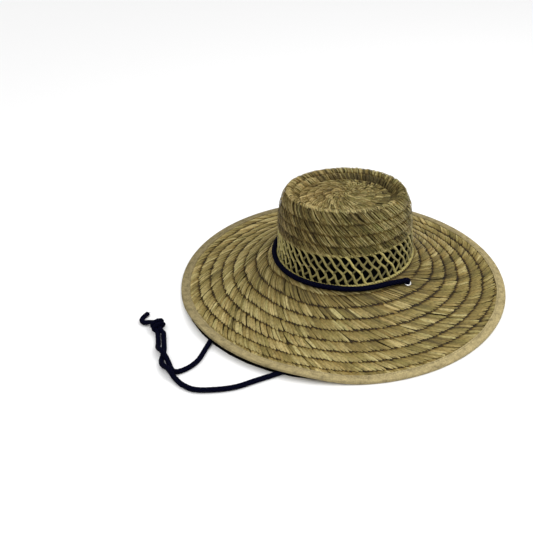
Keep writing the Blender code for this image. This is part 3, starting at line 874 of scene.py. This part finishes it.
def tape_material(settings):
    """Cotton tape: a fine crosswise weave with soft stains."""
    material, tree, shader = new_material("edge_tape_cloth", 0.9, 0.15)
    base = np.array(settings.colour)
    stain = stretched_noise(tree, (110.0, 150.0), detail=3.0)
    colour = ramp(tree, stain, ((0.3, base * 0.64), (0.5, base), (0.7, base * 1.2)))
    # Darker towards the left back, paler towards the right front
    side_tone = ramp(tree, point_value(tree, "tone"), ((0.0, 0.6), (1.0, 1.2)))
    weave = stretched_noise(tree, (520.0, 380.0), detail=2.0)
    grain = ramp(tree, weave, ((0.3, 0.78), (0.7, 1.16)))
    paint(tree, shader, colour, side_tone, grain)
    add_bump(tree, shader, weave, 0.4, 0.25 * MM)
    return material


def thread_material(settings):
    """Sewing thread close to the tape's colour."""
    material, tree, shader = new_material("tape_thread", 0.8)
    base = np.array(settings.colour)
    laid = stretched_noise(tree, (4.0, 900.0))
    paint(tree, shader, ramp(tree, laid, ((0.3, base * 0.6), (0.7, base * 1.1))))
    return material


def metal_material():
    """Plated eyelet with fine turning marks and dulled patches."""
    material, tree, shader = new_material("eyelet_plating", 0.3)
    dull = stretched_noise(tree, (3.0, 300.0))
    paint(tree, shader, ramp(tree, dull, ((0.3, (0.6, 0.59, 0.57)), (0.7, (0.88, 0.87, 0.85)))))
    tree.links.new(ramp(tree, dull, ((0.3, 0.42), (0.7, 0.2))), shader.inputs["Roughness"])
    shader.inputs["Metallic"].default_value = 1.0
    return material


def wave(tree, around, along):
    """Value that swings across a cord's places, by turns round it and by metres along it."""
    places = add_node(tree, "ShaderNodeUVMap", uv_map="places")
    lean = add_node(tree, "ShaderNodeVectorMath", operation="DOT_PRODUCT")
    lean.inputs[1].default_value = (2 * math.pi * around, 2 * math.pi * along, 0.0)
    swing = add_node(tree, "ShaderNodeMath", operation="SINE")
    tree.links.new(places.outputs["UV"], lean.inputs[0])
    tree.links.new(lean.outputs["Value"], swing.inputs[0])
    return swing.outputs["Value"]


def cord_material(settings):
    """Braided cord: two sets of yarns that cross round it."""
    material, tree, shader = new_material("navy_braid", 0.85, 0.03)
    over = add_node(tree, "ShaderNodeMath", operation="MAXIMUM")
    tree.links.new(wave(tree, 6, 210.0), over.inputs[0])
    tree.links.new(wave(tree, 6, -210.0), over.inputs[1])
    yarn = over.outputs["Value"]
    base = np.array(settings.colour)
    tone = ramp(tree, yarn, ((0.0, base * 0.35), (0.6, base), (1.0, base * 2.2)))
    fuzz = stretched_noise(tree, (30.0, 400.0))
    paint(tree, shader, tone, ramp(tree, fuzz, ((0.3, 0.7), (0.7, 1.3))))
    add_bump(tree, shader, yarn, 0.6, 0.3 * MM)
    return material


def floor_material(name, colour):
    """Plain floor, or the disc of painted shadow, with a faint mottle."""
    material, tree, shader = new_material(name, 0.9, 0.1)
    noise = add_node(tree, "ShaderNodeTexNoise")
    noise.inputs["Scale"].default_value = 3.0
    base = np.array(colour)
    paint(tree, shader, ramp(tree, noise.outputs["Fac"], ((0.3, base * 0.99), (0.7, base))))
    return material


# Chin cord
def route_line(points, step):
    """Smooth line through a route's points, evenly divided."""
    route = np.asarray(points, float)
    last = len(route) - 1
    u = np.linspace(0, 1, 24, endpoint=False)[:, None]
    line = []
    for i in range(last):
        start, end = route[i], route[i + 1]
        before, after = route[max(i - 1, 0)], route[min(i + 2, last)]
        span = np.linalg.norm(end - start)
        lean_start = (end - before) * (span / (np.linalg.norm(start - before) + span))
        lean_end = (after - start) * (span / (np.linalg.norm(after - end) + span))
        line.append(smooth_between(u, start, end, lean_start, lean_end))
    line = np.concatenate([*line, route[-1:]])
    run = run_along(line)
    marks = np.linspace(0, run[-1], max(2, round(run[-1] / step)) + 1)
    return np.stack([np.interp(marks, run, line[:, k]) for k in range(3)], -1)


def floor_line(points, settings):
    """Line of a stretch of cord that lies on the floor, no lower than its own radius."""
    line = route_line(points, settings.step)
    line[:, 2] = np.maximum(line[:, 2], CORD_RADIUS * (1 + settings.swell))
    return line


def crown_cord_point(angle):
    """Point of the cord in the corner between band and brim, a little loose near the eyelets."""
    from_eyelet = np.arccos(np.cos(angle)) - CORD_LEAVES_CROWN
    bulge = CORD_LOOSE_BULGE * fade_out(from_eyelet, 0.0, CORD_LOOSE_SPAN)
    return wall_points(-CORD_FROM_CORNER - bulge, angle, CORD_OVER_BRIM)


def eyelet_dive(side):
    """Route points from the brim's surface over an eyelet and down through it."""
    place, normal = eyelet_place(side)
    toward = place - crown_cord_point(side * CORD_LEAVES_CROWN)
    toward = unit(toward - normal * np.dot(toward, normal))
    return [place + toward * past + normal * rise for past, rise in CORD_OVER_EYELET]


def crown_cord_route():
    """From the near eyelet round the left of the crown to the far eyelet."""
    sweep_angle = 2 * math.pi - 2 * CORD_LEAVES_CROWN
    ring = []
    for i in range(CORD_RING_STEPS + 1):
        ring.append(crown_cord_point(-CORD_LEAVES_CROWN - sweep_angle * i / CORD_RING_STEPS))
    return eyelet_dive(-1)[::-1] + ring + eyelet_dive(1)


def leg_route(side, floor_route):
    """From under an eyelet down to the floor and along it."""
    place, normal = eyelet_place(side)
    start = [place - normal * drop for drop in CORD_UNDER_EYELET]
    return start + [np.array(point) * MM for point in floor_route]


def braid(settings, lines, radius):
    """Mesh parts of round cord along lines, with the swell of its yarns."""
    parts = MeshParts()
    for line in lines:
        side, up = carried_axes(line)
        surface = {"ripple": settings.swell, "lobes": BRAID_LOBES, "twist": BRAID_TWIST}
        add_tube(parts, line, side, up, radius, radius, settings.sides, **surface)
    return parts


def knot_lines(settings):
    """Lines of an overhand knot in two cord ends: two strands through a wrap of one and a half turns."""
    axis = np.array((math.cos(KNOT_TURN), math.sin(KNOT_TURN), 0.0))
    across = np.array((-math.sin(KNOT_TURN), math.cos(KNOT_TURN), 0.0))
    up = np.array((0.0, 0.0, 1.0))

    def spot(along, sideways, height):
        return KNOT_CENTRE + (axis * along + across * sideways + up * height) * MM

    wrap = []
    for phi in np.linspace(*KNOT_WRAP_HALF_TURNS, 40) * math.pi:
        sideways = KNOT_WRAP_WIDTH * math.cos(phi) - KNOT_WRAP_SHIFT
        height = KNOT_WRAP_HEIGHT * math.sin(phi)
        wrap.append(spot(KNOT_WRAP_START + KNOT_WRAP_PITCH * phi, sideways, height))
    front = [spot(*place) for place in KNOT_FRONT_STRAND]
    front = [np.array(FRONT_LEG_ROUTE[-1]) * MM, *front, np.array(TAIL_ROUTE[0]) * MM]
    back = [np.array(BACK_LEG_ROUTE[-1]) * MM, *(spot(*place) for place in KNOT_BACK_STRAND)]
    return [route_line(points, settings.step) for points in (wrap, front, back)]


def frayed_end(parts, line):
    """Short loose yarns at the cut end of the cord."""
    rng = np.random.default_rng(FRAY_SEED)
    end = line[-1]
    direction = unit(line[-1] - line[-3])
    u = np.linspace(0, 1, len(FRAY_THICKNESS))[:, None]
    for _ in range(FRAY_YARNS):
        spread = rng.normal(0.0, 0.55, 3)
        spread[2] = abs(spread[2]) * 0.5
        start = end + rng.normal(0.0, 0.9 * MM, 3) * (1, 1, 0.5) - direction * 0.6 * MM
        heading = unit(direction + 0.6 * spread)
        reach = rng.uniform(*FRAY_REACH) * MM
        yarn = start + heading * reach * u + spread * reach * 0.25 * u ** 2
        yarn[:, 2] = np.maximum(yarn[:, 2], FRAY_LOWEST)
        side, up = carried_axes(yarn)
        add_tube(parts, yarn, side, up, FRAY_THICKNESS, FRAY_THICKNESS, 5)


# Settings
def length_setting(name, description, default):
    return FloatProperty(name=name, description=description, default=default, unit="LENGTH")


def share_setting(name, description, default):
    return FloatProperty(name=name, description=description, default=default, subtype="FACTOR")


def angle_setting(name, description, degrees):
    return FloatProperty(name=name, description=description, default=math.radians(degrees), subtype="ANGLE")


def power_setting(name, description, default):
    return FloatProperty(name=name, description=description, default=default, subtype="POWER")


def number_setting(name, description, default):
    return FloatProperty(name=name, description=description, default=default)


def count_setting(name, description, default):
    return IntProperty(name=name, description=description, default=default)


def colour_setting(name, description, default):
    return FloatVectorProperty(name=name, description=description, default=default, subtype="COLOR", size=3)


def place_setting(name, description, default):
    return FloatVectorProperty(
        name=name, description=description, default=default, subtype="TRANSLATION", size=3
    )


class WeaveSettings(bpy.types.PropertyGroup):
    """Sizes and colours of the woven rush."""

    brim_pitch: length_setting("Row pitch", "Width of one row of the brim", 14.68 * MM)
    brim_lean: length_setting("Blade lean", "How far a brim blade runs round the hat in one row", 20.0 * MM)
    spiral_start: angle_setting("Spiral start", "Where the spiral of rows leaves the crown", 40.3)
    first_turn: share_setting("First turn", "Share of a turn before the first blade", 0.2)
    blade_narrow: length_setting("Narrowest blade", "Least spacing of brim blades along a row", 3.3 * MM)
    blade_wide: length_setting("Widest blade", "Largest spacing of brim blades along a row", 5.8 * MM)
    crown_blade: length_setting("Crown blade", "Mean spacing of crown blades along a row", 1.5 * MM)
    crown_lean: number_setting("Crown lean", "Run round the hat of a crown side's blade over its fall", 1.1)
    top_lean: number_setting("Top lean", "Run round the hat of a crown top's blade over its length", 0.5)
    cover: number_setting("Cover", "Width of a brim blade over its spacing", 1.38)
    crown_cover: number_setting("Crown cover", "Width of a crown blade over its spacing", 1.16)
    tuck: length_setting("Tuck", "How far blades reach past a row line", 1.1 * MM)
    arch: share_setting("Arch", "Height of a blade's rounded back over its half width", 0.22)
    bow: length_setting("Bow", "Sideways bend of the blades", 0.35 * MM)
    roll: share_setting("Roll", "Tilt of the blades about their length", 0.08)
    unevenness: share_setting("Unevenness", "Spread of the blades' heights", 0.16)
    tip_from: share_setting("Tip from", "Share of a blade's length where its tip starts to narrow", 0.76)
    tip_scatter: length_setting("Tip scatter", "Spread of the tips across a row line", 0.7 * MM)
    # Painted highlight towards a blade's tip
    tip_highlight: share_setting("Tip glow", "How much paler a blade is towards its tip", 0.18)
    tip_dip: share_setting("Tip dip", "Share of its height that a blade loses at its tip", 0.55)
    root_shade: share_setting("Root shade", "Darkening where a blade comes out from under a row", 0.95)
    line_from: share_setting("Line from", "Share of a blade's length that is fully dark", 0.25)
    line_fade: share_setting("Line fade", "Share of a blade's length over which the dark fades", 0.07)
    tip_shade: share_setting("Tip shade", "Darkening at a blade's tip", 0.05)
    edge_shade: share_setting("Edge shade", "Darkening along a blade's edges", 0.1)
    tone_spread: share_setting("Tone spread", "Spread of the blades' tones", 0.155)
    bright_share: share_setting("Bright share", "Share of pale, shiny blades", 0.12)
    dark: colour_setting("Dark rush", "Colour of the darkest blades", (0.12, 0.085, 0.026))
    middle: colour_setting("Rush", "Colour of most blades", (0.325, 0.24, 0.074))
    pale: colour_setting("Pale rush", "Colour of the palest blades", (0.64, 0.52, 0.23))


class BandSettings(bpy.types.PropertyGroup):
    """Sizes and colour of the openwork band."""

    half_width: length_setting("Strand half width", "Half width of a strand", 1.6 * MM)
    half_height: length_setting("Strand half thickness", "Half thickness of a strand", 1.25 * MM)
    lean_bow: share_setting("Lean bow", "How much more the strands lean at their heads", 0.35)
    colour: colour_setting("Strand colour", "Colour of the strands", (0.41, 0.35, 0.125))


class TapeSettings(bpy.types.PropertyGroup):
    """Look of the bound edge."""

    segments: count_setting("Segments", "Divisions round the rim", 360)
    ripple: length_setting("Ripple", "Unevenness of the tape", 0.22 * MM)
    stitches: count_setting("Stitches", "Stitches round the rim", 330)
    colour: colour_setting("Tape colour", "Colour of the tape", (0.32, 0.26, 0.128))


class CordSettings(bpy.types.PropertyGroup):
    """Look of the chin cord."""

    step: length_setting("Step", "Division of the cord along its length", 1.0 * MM)
    sides: count_setting("Sides", "Divisions round the cord", 16)
    swell: share_setting("Swell", "Relief of the braid over the cord's radius", 0.03)
    colour: colour_setting("Cord colour", "Colour of the cord", (0.001, 0.0012, 0.007))


class StageSettings(bpy.types.PropertyGroup):
    """Camera, floor and light."""

    camera_place: place_setting("Camera place", "Where the camera stands", (0.004, -0.75, 0.4872))
    camera_pitch: angle_setting("Camera pitch", "How far the camera looks down", 33.55)
    lens: number_setting("Lens", "Focal length in millimetres", 42.67)
    shift_x: number_setting("Shift across", "Sideways shift of the picture", -0.1473)
    shift_y: number_setting("Shift up", "Upward shift of the picture", 0.0276)
    key_power: power_setting("Key light", "Power of the large light at the right", 8.5)
    fill_power: power_setting("Fill light", "Power of the light above the camera", 2.6)
    sky: number_setting("Sky", "Strength of the light from above", 1.5)
    floor: colour_setting("Floor colour", "Colour of the floor", (0.92, 0.92, 0.92))
    # Colour of the painted shadow disc under the crown
    shadow_disc: colour_setting("Card colour", "Colour of the card under the crown", (0.004, 0.004, 0.004))


# Operators, one for each piece or group of like pieces
class SUNHAT_OT_stage(bpy.types.Operator):
    """Set the camera, the pale floor with a disc of painted shadow under the crown, and the soft lights"""

    bl_idname = "sunhat.stage"
    bl_label = "Stage"

    def execute(self, context):
        settings = context.scene.sunhat_stage
        scene = context.scene
        self.add_camera(scene, settings)
        floor = floor_material("studio_floor", settings.floor)
        shadow_disc = floor_material("painted_shadow", settings.shadow_disc)
        self.add_disc(scene, "floor", FLOOR_RADII, 0.0, floor)
        # Painted shadow under the crown and the lifted rim
        self.add_disc(scene, "painted_shadow_under_crown", SHADOW_DISC_RADII, SHADOW_DISC_HEIGHT, shadow_disc)
        self.add_light(scene, "key_light", KEY_PLACE, KEY_SIZE, settings.key_power)
        self.add_light(scene, "fill_light", FILL_PLACE, FILL_SIZE, settings.fill_power)
        self.add_sky(scene, settings)
        scene.view_settings.view_transform = "Standard"
        return {"FINISHED"}

    def add_camera(self, scene, settings):
        data = bpy.data.cameras.new("camera")
        data.lens = settings.lens
        data.sensor_width = 36.0
        data.shift_x = settings.shift_x
        data.shift_y = settings.shift_y
        camera = bpy.data.objects.new("camera", data)
        camera.location = settings.camera_place
        camera.rotation_euler = (math.pi / 2 - settings.camera_pitch, 0.0, 0.0)
        scene.collection.objects.link(camera)
        scene.camera = camera

    def add_sky(self, scene, settings):
        """Soft light that is strongest straight above."""
        world = bpy.data.worlds.new("studio")
        world.use_nodes = True
        tree = world.node_tree
        background = tree.nodes["Background"]
        background.inputs["Strength"].default_value = settings.sky
        direction = add_node(tree, "ShaderNodeTexCoord")
        split = add_node(tree, "ShaderNodeSeparateXYZ")
        tree.links.new(direction.outputs["Generated"], split.inputs["Vector"])
        tree.links.new(ramp(tree, split.outputs["Z"], SKY_STOPS), background.inputs["Color"])
        scene.world = world

    def add_disc(self, scene, name, radii, height, material):
        """Flat round sheet on the ground that isn't part of the hat."""
        angle = np.linspace(0, 2 * math.pi, 49)
        radius = np.array(radii)[:, None]
        points = np.stack([radius * np.cos(angle), radius * np.sin(angle), height + 0 * radius * angle], -1)
        mesh = bpy.data.meshes.new(name)
        mesh.from_pydata(points.reshape(-1, 3).tolist(), [], grid_faces(1, len(radii), len(angle)).tolist())
        mesh.materials.append(material)
        disc = bpy.data.objects.new(name, mesh)
        scene.collection.objects.link(disc)

    def add_light(self, scene, name, place, size, power):
        """Rectangular light that faces the middle of the floor."""
        data = bpy.data.lights.new(name, "AREA")
        data.shape = "RECTANGLE"
        data.size, data.size_y = size
        data.energy = power
        light = bpy.data.objects.new(name, data)
        light.location = place
        toward = -np.array(place)
        tilt = math.acos(toward[2] / np.linalg.norm(toward)) - math.pi
        light.rotation_euler = (tilt, 0.0, math.atan2(-toward[0], toward[1]) + math.pi)
        scene.collection.objects.link(light)


class SUNHAT_OT_chin_cord(bpy.types.Operator):
    """Lay the chin cord round the crown, through the eyelets and along the floor to its knot"""

    bl_idname = "sunhat.chin_cord"
    bl_label = "Chin cord"

    def execute(self, context):
        settings = context.scene.sunhat_cord
        material = cord_material(settings)
        ring = braid(settings, [route_line(crown_cord_route(), settings.step)], CORD_PRESSED_RADIUS)
        ring.build("braid_round_crown", material, "cord_round_crown", "cord")
        knot = braid(settings, knot_lines(settings), KNOT_STRAND_SHARE * CORD_RADIUS)
        knot = knot.build("braid_knot", material, "cord_knot", "cord")
        tail_line = floor_line(np.array(TAIL_ROUTE) * MM, settings)
        tail = braid(settings, [tail_line], CORD_RADIUS)
        frayed_end(tail, tail_line)
        tail = tail.build("braid_tail", material, "cord_tail", "cord")
        for name, side, floor_route, pieces in (
            ("front", -1, FRONT_LEG_ROUTE, (knot, tail)),
            ("back", 1, BACK_LEG_ROUTE, ()),
        ):
            line = floor_line(leg_route(side, floor_route), settings)
            leg = braid(settings, [line], CORD_RADIUS)
            leg = leg.build("braid_leg_" + name, material, "cord_leg_" + name, "cord")
        return {"FINISHED"}


class SUNHAT_OT_core(bpy.types.Operator):
    """Lay the inner layer, painted near-black as shade, that shows between the blades"""

    bl_idname = "sunhat.core"
    bl_label = "Inner layer"

    def execute(self, context):
        parts = MeshParts()
        angle = np.linspace(0, 2 * math.pi, 241)
        rings = 60
        brim_span = (-0.985 * BRIM_WIDTH, 0.6 * BAND_FOOT)
        crown_span = (BAND_HEAD, CROWN_TOP - 0.5 * MM)
        for span in (brim_span, crown_span):
            distance = np.linspace(*span, rings)[:, None]
            points = middle_points(distance, angle[None])
            places = np.stack(np.broadcast_arrays(angle[None] * 0.1, distance), -1)
            faces = clear_of_eyelets(points, grid_faces(1, rings, len(angle), flip=True))
            parts.add(points, faces, places)
        parts.build("weave_core", core_material(), "woven_body", "rush")
        return {"FINISHED"}


class SUNHAT_OT_brim(bpy.types.Operator):
    """Weave the brim's blades, above and below"""

    bl_idname = "sunhat.brim"
    bl_label = "Brim"

    def execute(self, context):
        settings = context.scene.sunhat_weave
        material = rush_material("brim_rush", settings, gain=0.71, green=0.6, mottle=0.35)
        above = MeshParts()
        lay_blades(above, brim_plan(settings, BRIM_SEED, *OUTER_BRIM_LAYER), settings, 11, 5)
        above.build("brim_blades", material, "woven_body", "rush")
        below = MeshParts()
        lay_blades(below, brim_plan(settings, UNDERSIDE_SEED, *INNER_LAYER), settings, 8, 3, side=-1.0)
        below.build("brim_underside_blades", material, "woven_body", "rush")
        return {"FINISHED"}


class SUNHAT_OT_crown(bpy.types.Operator):
    """Weave the crown's side and dented top, outside and inside"""

    bl_idname = "sunhat.crown"
    bl_label = "Crown"

    def execute(self, context):
        settings = context.scene.sunhat_weave
        side_rush = rush_material("crown_side_rush", settings, gain=0.64, green=1.1, mottle=0.85)
        top_rush = rush_material("crown_top_rush", settings, gain=0.69, green=1.0, mottle=0.8)
        for name, lines, lean, line, loose, material, seed in (
            ("side", SIDE_LINES, settings.crown_lean, (0.1, 0.85), 1.8, side_rush, CROWN_SIDE_SEED),
            ("top", DOME_LINES, settings.top_lean, (0.2, 0.9), 2.0, top_rush, CROWN_TOP_SEED),
        ):
            outside = MeshParts()
            plan = ring_plan(settings, seed, lines, lean, *OUTER_CROWN_LAYER, line, loose)
            lay_blades(outside, plan, settings, 10, 4)
            outside.build("crown_" + name + "_blades", material, "woven_body", "rush")
            inside = MeshParts()
            plan = ring_plan(settings, seed + 1, lines, lean, *INNER_LAYER, line, 1.0)
            lay_blades(inside, plan, settings, 7, 3, side=-1.0)
            inside.build("crown_" + name + "_inside_blades", material, "woven_body", "rush")
        return {"FINISHED"}


class SUNHAT_OT_band(bpy.types.Operator):
    """Weave the openwork band: leaning strands, short bridges and a laid ring at each edge"""

    bl_idname = "sunhat.band"
    bl_label = "Openwork band"

    def execute(self, context):
        settings = context.scene.sunhat_band
        rng = np.random.default_rng(BAND_SEED)
        parts = MeshParts()
        for column in range(BAND_COLUMNS):
            self.add_strand(parts, settings, column, rng)
            for level in BRIDGE_LEVELS:
                self.add_bridge(parts, settings, column, level, rng)
        for distance, half in ((0.3 * BAND_FOOT, 1.5 * MM), (BAND_HEAD + 0.4 * MM, 0.9 * MM)):
            self.add_laid_ring(parts, distance, half, rng)
        parts.build("band_strands", strand_material(settings), "woven_body", "rush")
        return {"FINISHED"}

    def spot(self, settings, column, down):
        """Distance up the crown and angle of a strand, by its share of the way down the band."""
        turn = BAND_LEAN_COLUMNS * ((1 + settings.lean_bow) * down - settings.lean_bow * down ** 2)
        return BAND_HEAD + (BAND_FOOT - BAND_HEAD) * down, column_angle(column + turn)

    def lay(self, parts, distance, angle, offset, size, sides, rng, tone=0.55, **surface):
        """Tube along the wall; its size is half its width and half its thickness."""
        centre = wall_points(distance, angle, offset)
        normal = surface_normals(distance, angle)
        tangent = np.gradient(centre, axis=0)
        if surface.get("closed"):
            tangent[[0, -1]] = centre[1] - centre[-2]
        side = unit(np.cross(normal, unit(tangent)))
        tone = np.clip(tone + 0.2 * rng.normal(), 0, 1)
        add_tube(parts, centre, side, normal, *size, sides, tone=tone, **surface)

    def add_strand(self, parts, settings, column, rng):
        down = np.linspace(*STRAND_SPAN, 26)
        distance, angle = self.spot(settings, column, down)
        sway = np.sin(2 * math.pi * (down * 1.75 + 0.1)) * STRAND_SWAY / BASE_HALF_WIDTH
        width = settings.half_width * (1 + 0.12 * np.cos(2 * math.pi * (down - 0.05) * 3.4))
        size = (width, settings.half_height)
        offset = 0.15 * MM + 0 * down
        self.lay(parts, distance, angle + sway, offset, size, 10, rng, ripple=0.07, lobes=3, twist=0.5)

    def add_bridge(self, parts, settings, column, level, rng):
        """Short darker tie that climbs from one strand to the next."""
        share = np.linspace(0, 1, 8)
        down = 1 - level + BRIDGE_CLIMB * (0.5 - share) + rng.normal(0.0, 0.008)
        distance, angle = self.spot(settings, column, down)
        angle = angle + 2 * math.pi * share / BAND_COLUMNS
        offset = 0.1 * MM + 0.35 * MM * np.sin(math.pi * share)
        size = (settings.half_width * (0.75 + 0.75 * (2 * share - 1) ** 2), 0.9 * settings.half_height)
        self.lay(parts, distance, angle, offset, size, 8, rng, tone=0.04, ripple=0.06, lobes=3, twist=0.6)

    def add_laid_ring(self, parts, distance, half, rng):
        """Two strands laid round each other."""
        angle = np.linspace(0, 2 * math.pi, 601)
        reach = half * 0.7
        for start in (0.0, math.pi):
            swing = angle * LAID_TURNS + start
            offset = reach * np.sin(swing)
            height = distance + reach * np.cos(swing)
            self.lay(parts, height, angle, offset, (half, half), 6, rng, closed=True)


class SUNHAT_OT_binding(bpy.types.Operator):
    """Fold the tape over the brim's edge and stitch it"""

    bl_idname = "sunhat.binding"
    bl_label = "Bound edge"

    def execute(self, context):
        settings = context.scene.sunhat_tape
        rng = np.random.default_rng(TAPE_SEED)
        angle = np.linspace(0, 2 * math.pi, settings.segments + 1)
        waves = 0.0
        for k in range(5, 40):
            waves = waves + rng.normal() * np.sin(k * angle + rng.uniform(0, 6.3)) / math.sqrt(k)
        waves = settings.ripple * waves / np.std(waves)
        section = self.section()
        points = []
        places = []
        for (reach, rise, free), run in zip(section, run_along(section[:, :2])):
            inward = np.minimum(reach + free * waves, 0.0) / BRIM_WIDTH
            ring = brim_points(1 + inward, angle, max(reach, 0.0))
            ring[:, 2] += rise + 0.35 * free * waves
            points.append(ring)
            places.append(np.stack([angle * WEAVE_EDGE_RADIUS, 0 * angle + run], -1))
        points = np.stack(points)
        # Tape darker towards the left back and paler towards the right front
        tone = 0.5 + 0.5 * np.cos(angle - TAPE_PALE_ANGLE) + 0 * points[..., 0]
        parts = MeshParts()
        parts.add(points, grid_faces(1, len(section), len(angle)), np.stack(places), tone=tone)
        parts.build("edge_tape_fold", tape_material(settings), "brim_binding", "edge_tape")
        self.add_stitches(settings, rng)
        return {"FINISHED"}

    def section(self):
        """Tape's section: reach past the weave's edge, rise over its middle, and share of ripple."""
        fold = []
        for turn in np.linspace(FOLD_HALF_TURN, -FOLD_HALF_TURN, 7):
            rise = TAPE_RISE * math.sin(turn) / math.sin(FOLD_HALF_TURN)
            fold.append((FOLD_CENTRE + FOLD_REACH * math.cos(turn), rise, 0.0))
        under = [(reach, -rise, 0.0) for reach, rise, _ in reversed(TAPE_TOP)]
        return np.array([*TAPE_TOP, *fold, *under, *TAPE_INSIDE, TAPE_TOP[0]]) * (MM, MM, 1.0)

    def add_stitches(self, settings, rng):
        """One row of stitches along the inner edge of the tape."""
        parts = MeshParts()
        arc = 2 * math.pi / settings.stitches
        rise = TAPE_RISE * MM + 0.28 * MM * np.cos(np.linspace(-1.5, 1.5, STITCH_STEPS))
        for i in range(settings.stitches):
            angle = (i + np.linspace(-0.33, 0.33, STITCH_STEPS)) * arc
            reach = STITCH_REACH + rng.normal(0.0, 0.12 * MM)
            line = brim_points(1 + reach / BRIM_WIDTH + 0 * angle, angle)
            line[:, 2] += rise
            side, up = carried_axes(line)
            add_tube(parts, line, side, up, 0.3 * MM, 0.26 * MM, 6)
        parts.build("edge_tape_stitches", thread_material(settings), "brim_binding", "edge_tape")


class SUNHAT_OT_eyelets(bpy.types.Operator):
    """Press the two plated eyelets into the brim"""

    bl_idname = "sunhat.eyelets"
    bl_label = "Eyelets"

    def execute(self, context):
        material = metal_material()
        section = self.section()
        turn = np.linspace(0, 2 * math.pi, 49)
        places = np.stack(np.broadcast_arrays(turn[None] / (2 * math.pi), run_along(section)[:, None]), -1)
        for label, side in (("near", -1), ("far", 1)):
            parts = MeshParts()
            place, normal = eyelet_place(side)
            first = unit(np.cross(normal, (0.0, 1.0, 0.0)))
            second = np.cross(normal, first)
            round_way = first * np.cos(turn)[:, None] + second * np.sin(turn)[:, None]
            points = np.stack([place + round_way * radius + normal * height for radius, height in section])
            parts.add(points, grid_faces(1, len(section), len(turn), flip=True), places)
            parts.build("pressed_eyelet_" + label, material, "eyelet_" + label, "eyelet_metal")
        return {"FINISHED"}

    def section(self):
        """Rolled flange above, barrel and split flange below: radius and height."""
        turn = np.radians(np.linspace(-90, 180, 13))
        roll = np.array(ROLL_CENTRE) + np.array(ROLL_SIZE) * np.stack([np.cos(turn), np.sin(turn)], -1)
        return np.concatenate([roll, EYELET_BARREL]) * MM


class SUNHAT_PT_pieces(bpy.types.Panel):
    """Pieces of the sun hat"""

    bl_idname = "SUNHAT_PT_pieces"
    bl_label = "Sun hat"
    bl_space_type = "VIEW_3D"
    bl_region_type = "UI"
    bl_category = "Sun hat"

    def draw(self, context):
        for operator in OPERATORS:
            self.layout.operator(operator.bl_idname)


SETTINGS = (
    ("sunhat_weave", WeaveSettings),
    ("sunhat_band", BandSettings),
    ("sunhat_tape", TapeSettings),
    ("sunhat_cord", CordSettings),
    ("sunhat_stage", StageSettings),
)
OPERATORS = (
    SUNHAT_OT_stage,
    SUNHAT_OT_chin_cord,
    SUNHAT_OT_core,
    SUNHAT_OT_brim,
    SUNHAT_OT_crown,
    SUNHAT_OT_band,
    SUNHAT_OT_binding,
    SUNHAT_OT_eyelets,
)


def register():
    for name, settings in SETTINGS:
        bpy.utils.register_class(settings)
        setattr(bpy.types.Scene, name, PointerProperty(type=settings))
    for operator in OPERATORS:
        bpy.utils.register_class(operator)
    bpy.utils.register_class(SUNHAT_PT_pieces)


def unregister():
    bpy.utils.unregister_class(SUNHAT_PT_pieces)
    for operator in reversed(OPERATORS):
        bpy.utils.unregister_class(operator)
    for name, settings in reversed(SETTINGS):
        delattr(bpy.types.Scene, name)
        bpy.utils.unregister_class(settings)


def main():
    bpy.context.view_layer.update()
    register()
    for operator in OPERATORS:
        group, name = operator.bl_idname.split(".")
        getattr(getattr(bpy.ops, group), name)()


if __name__ == "__main__":
    main()
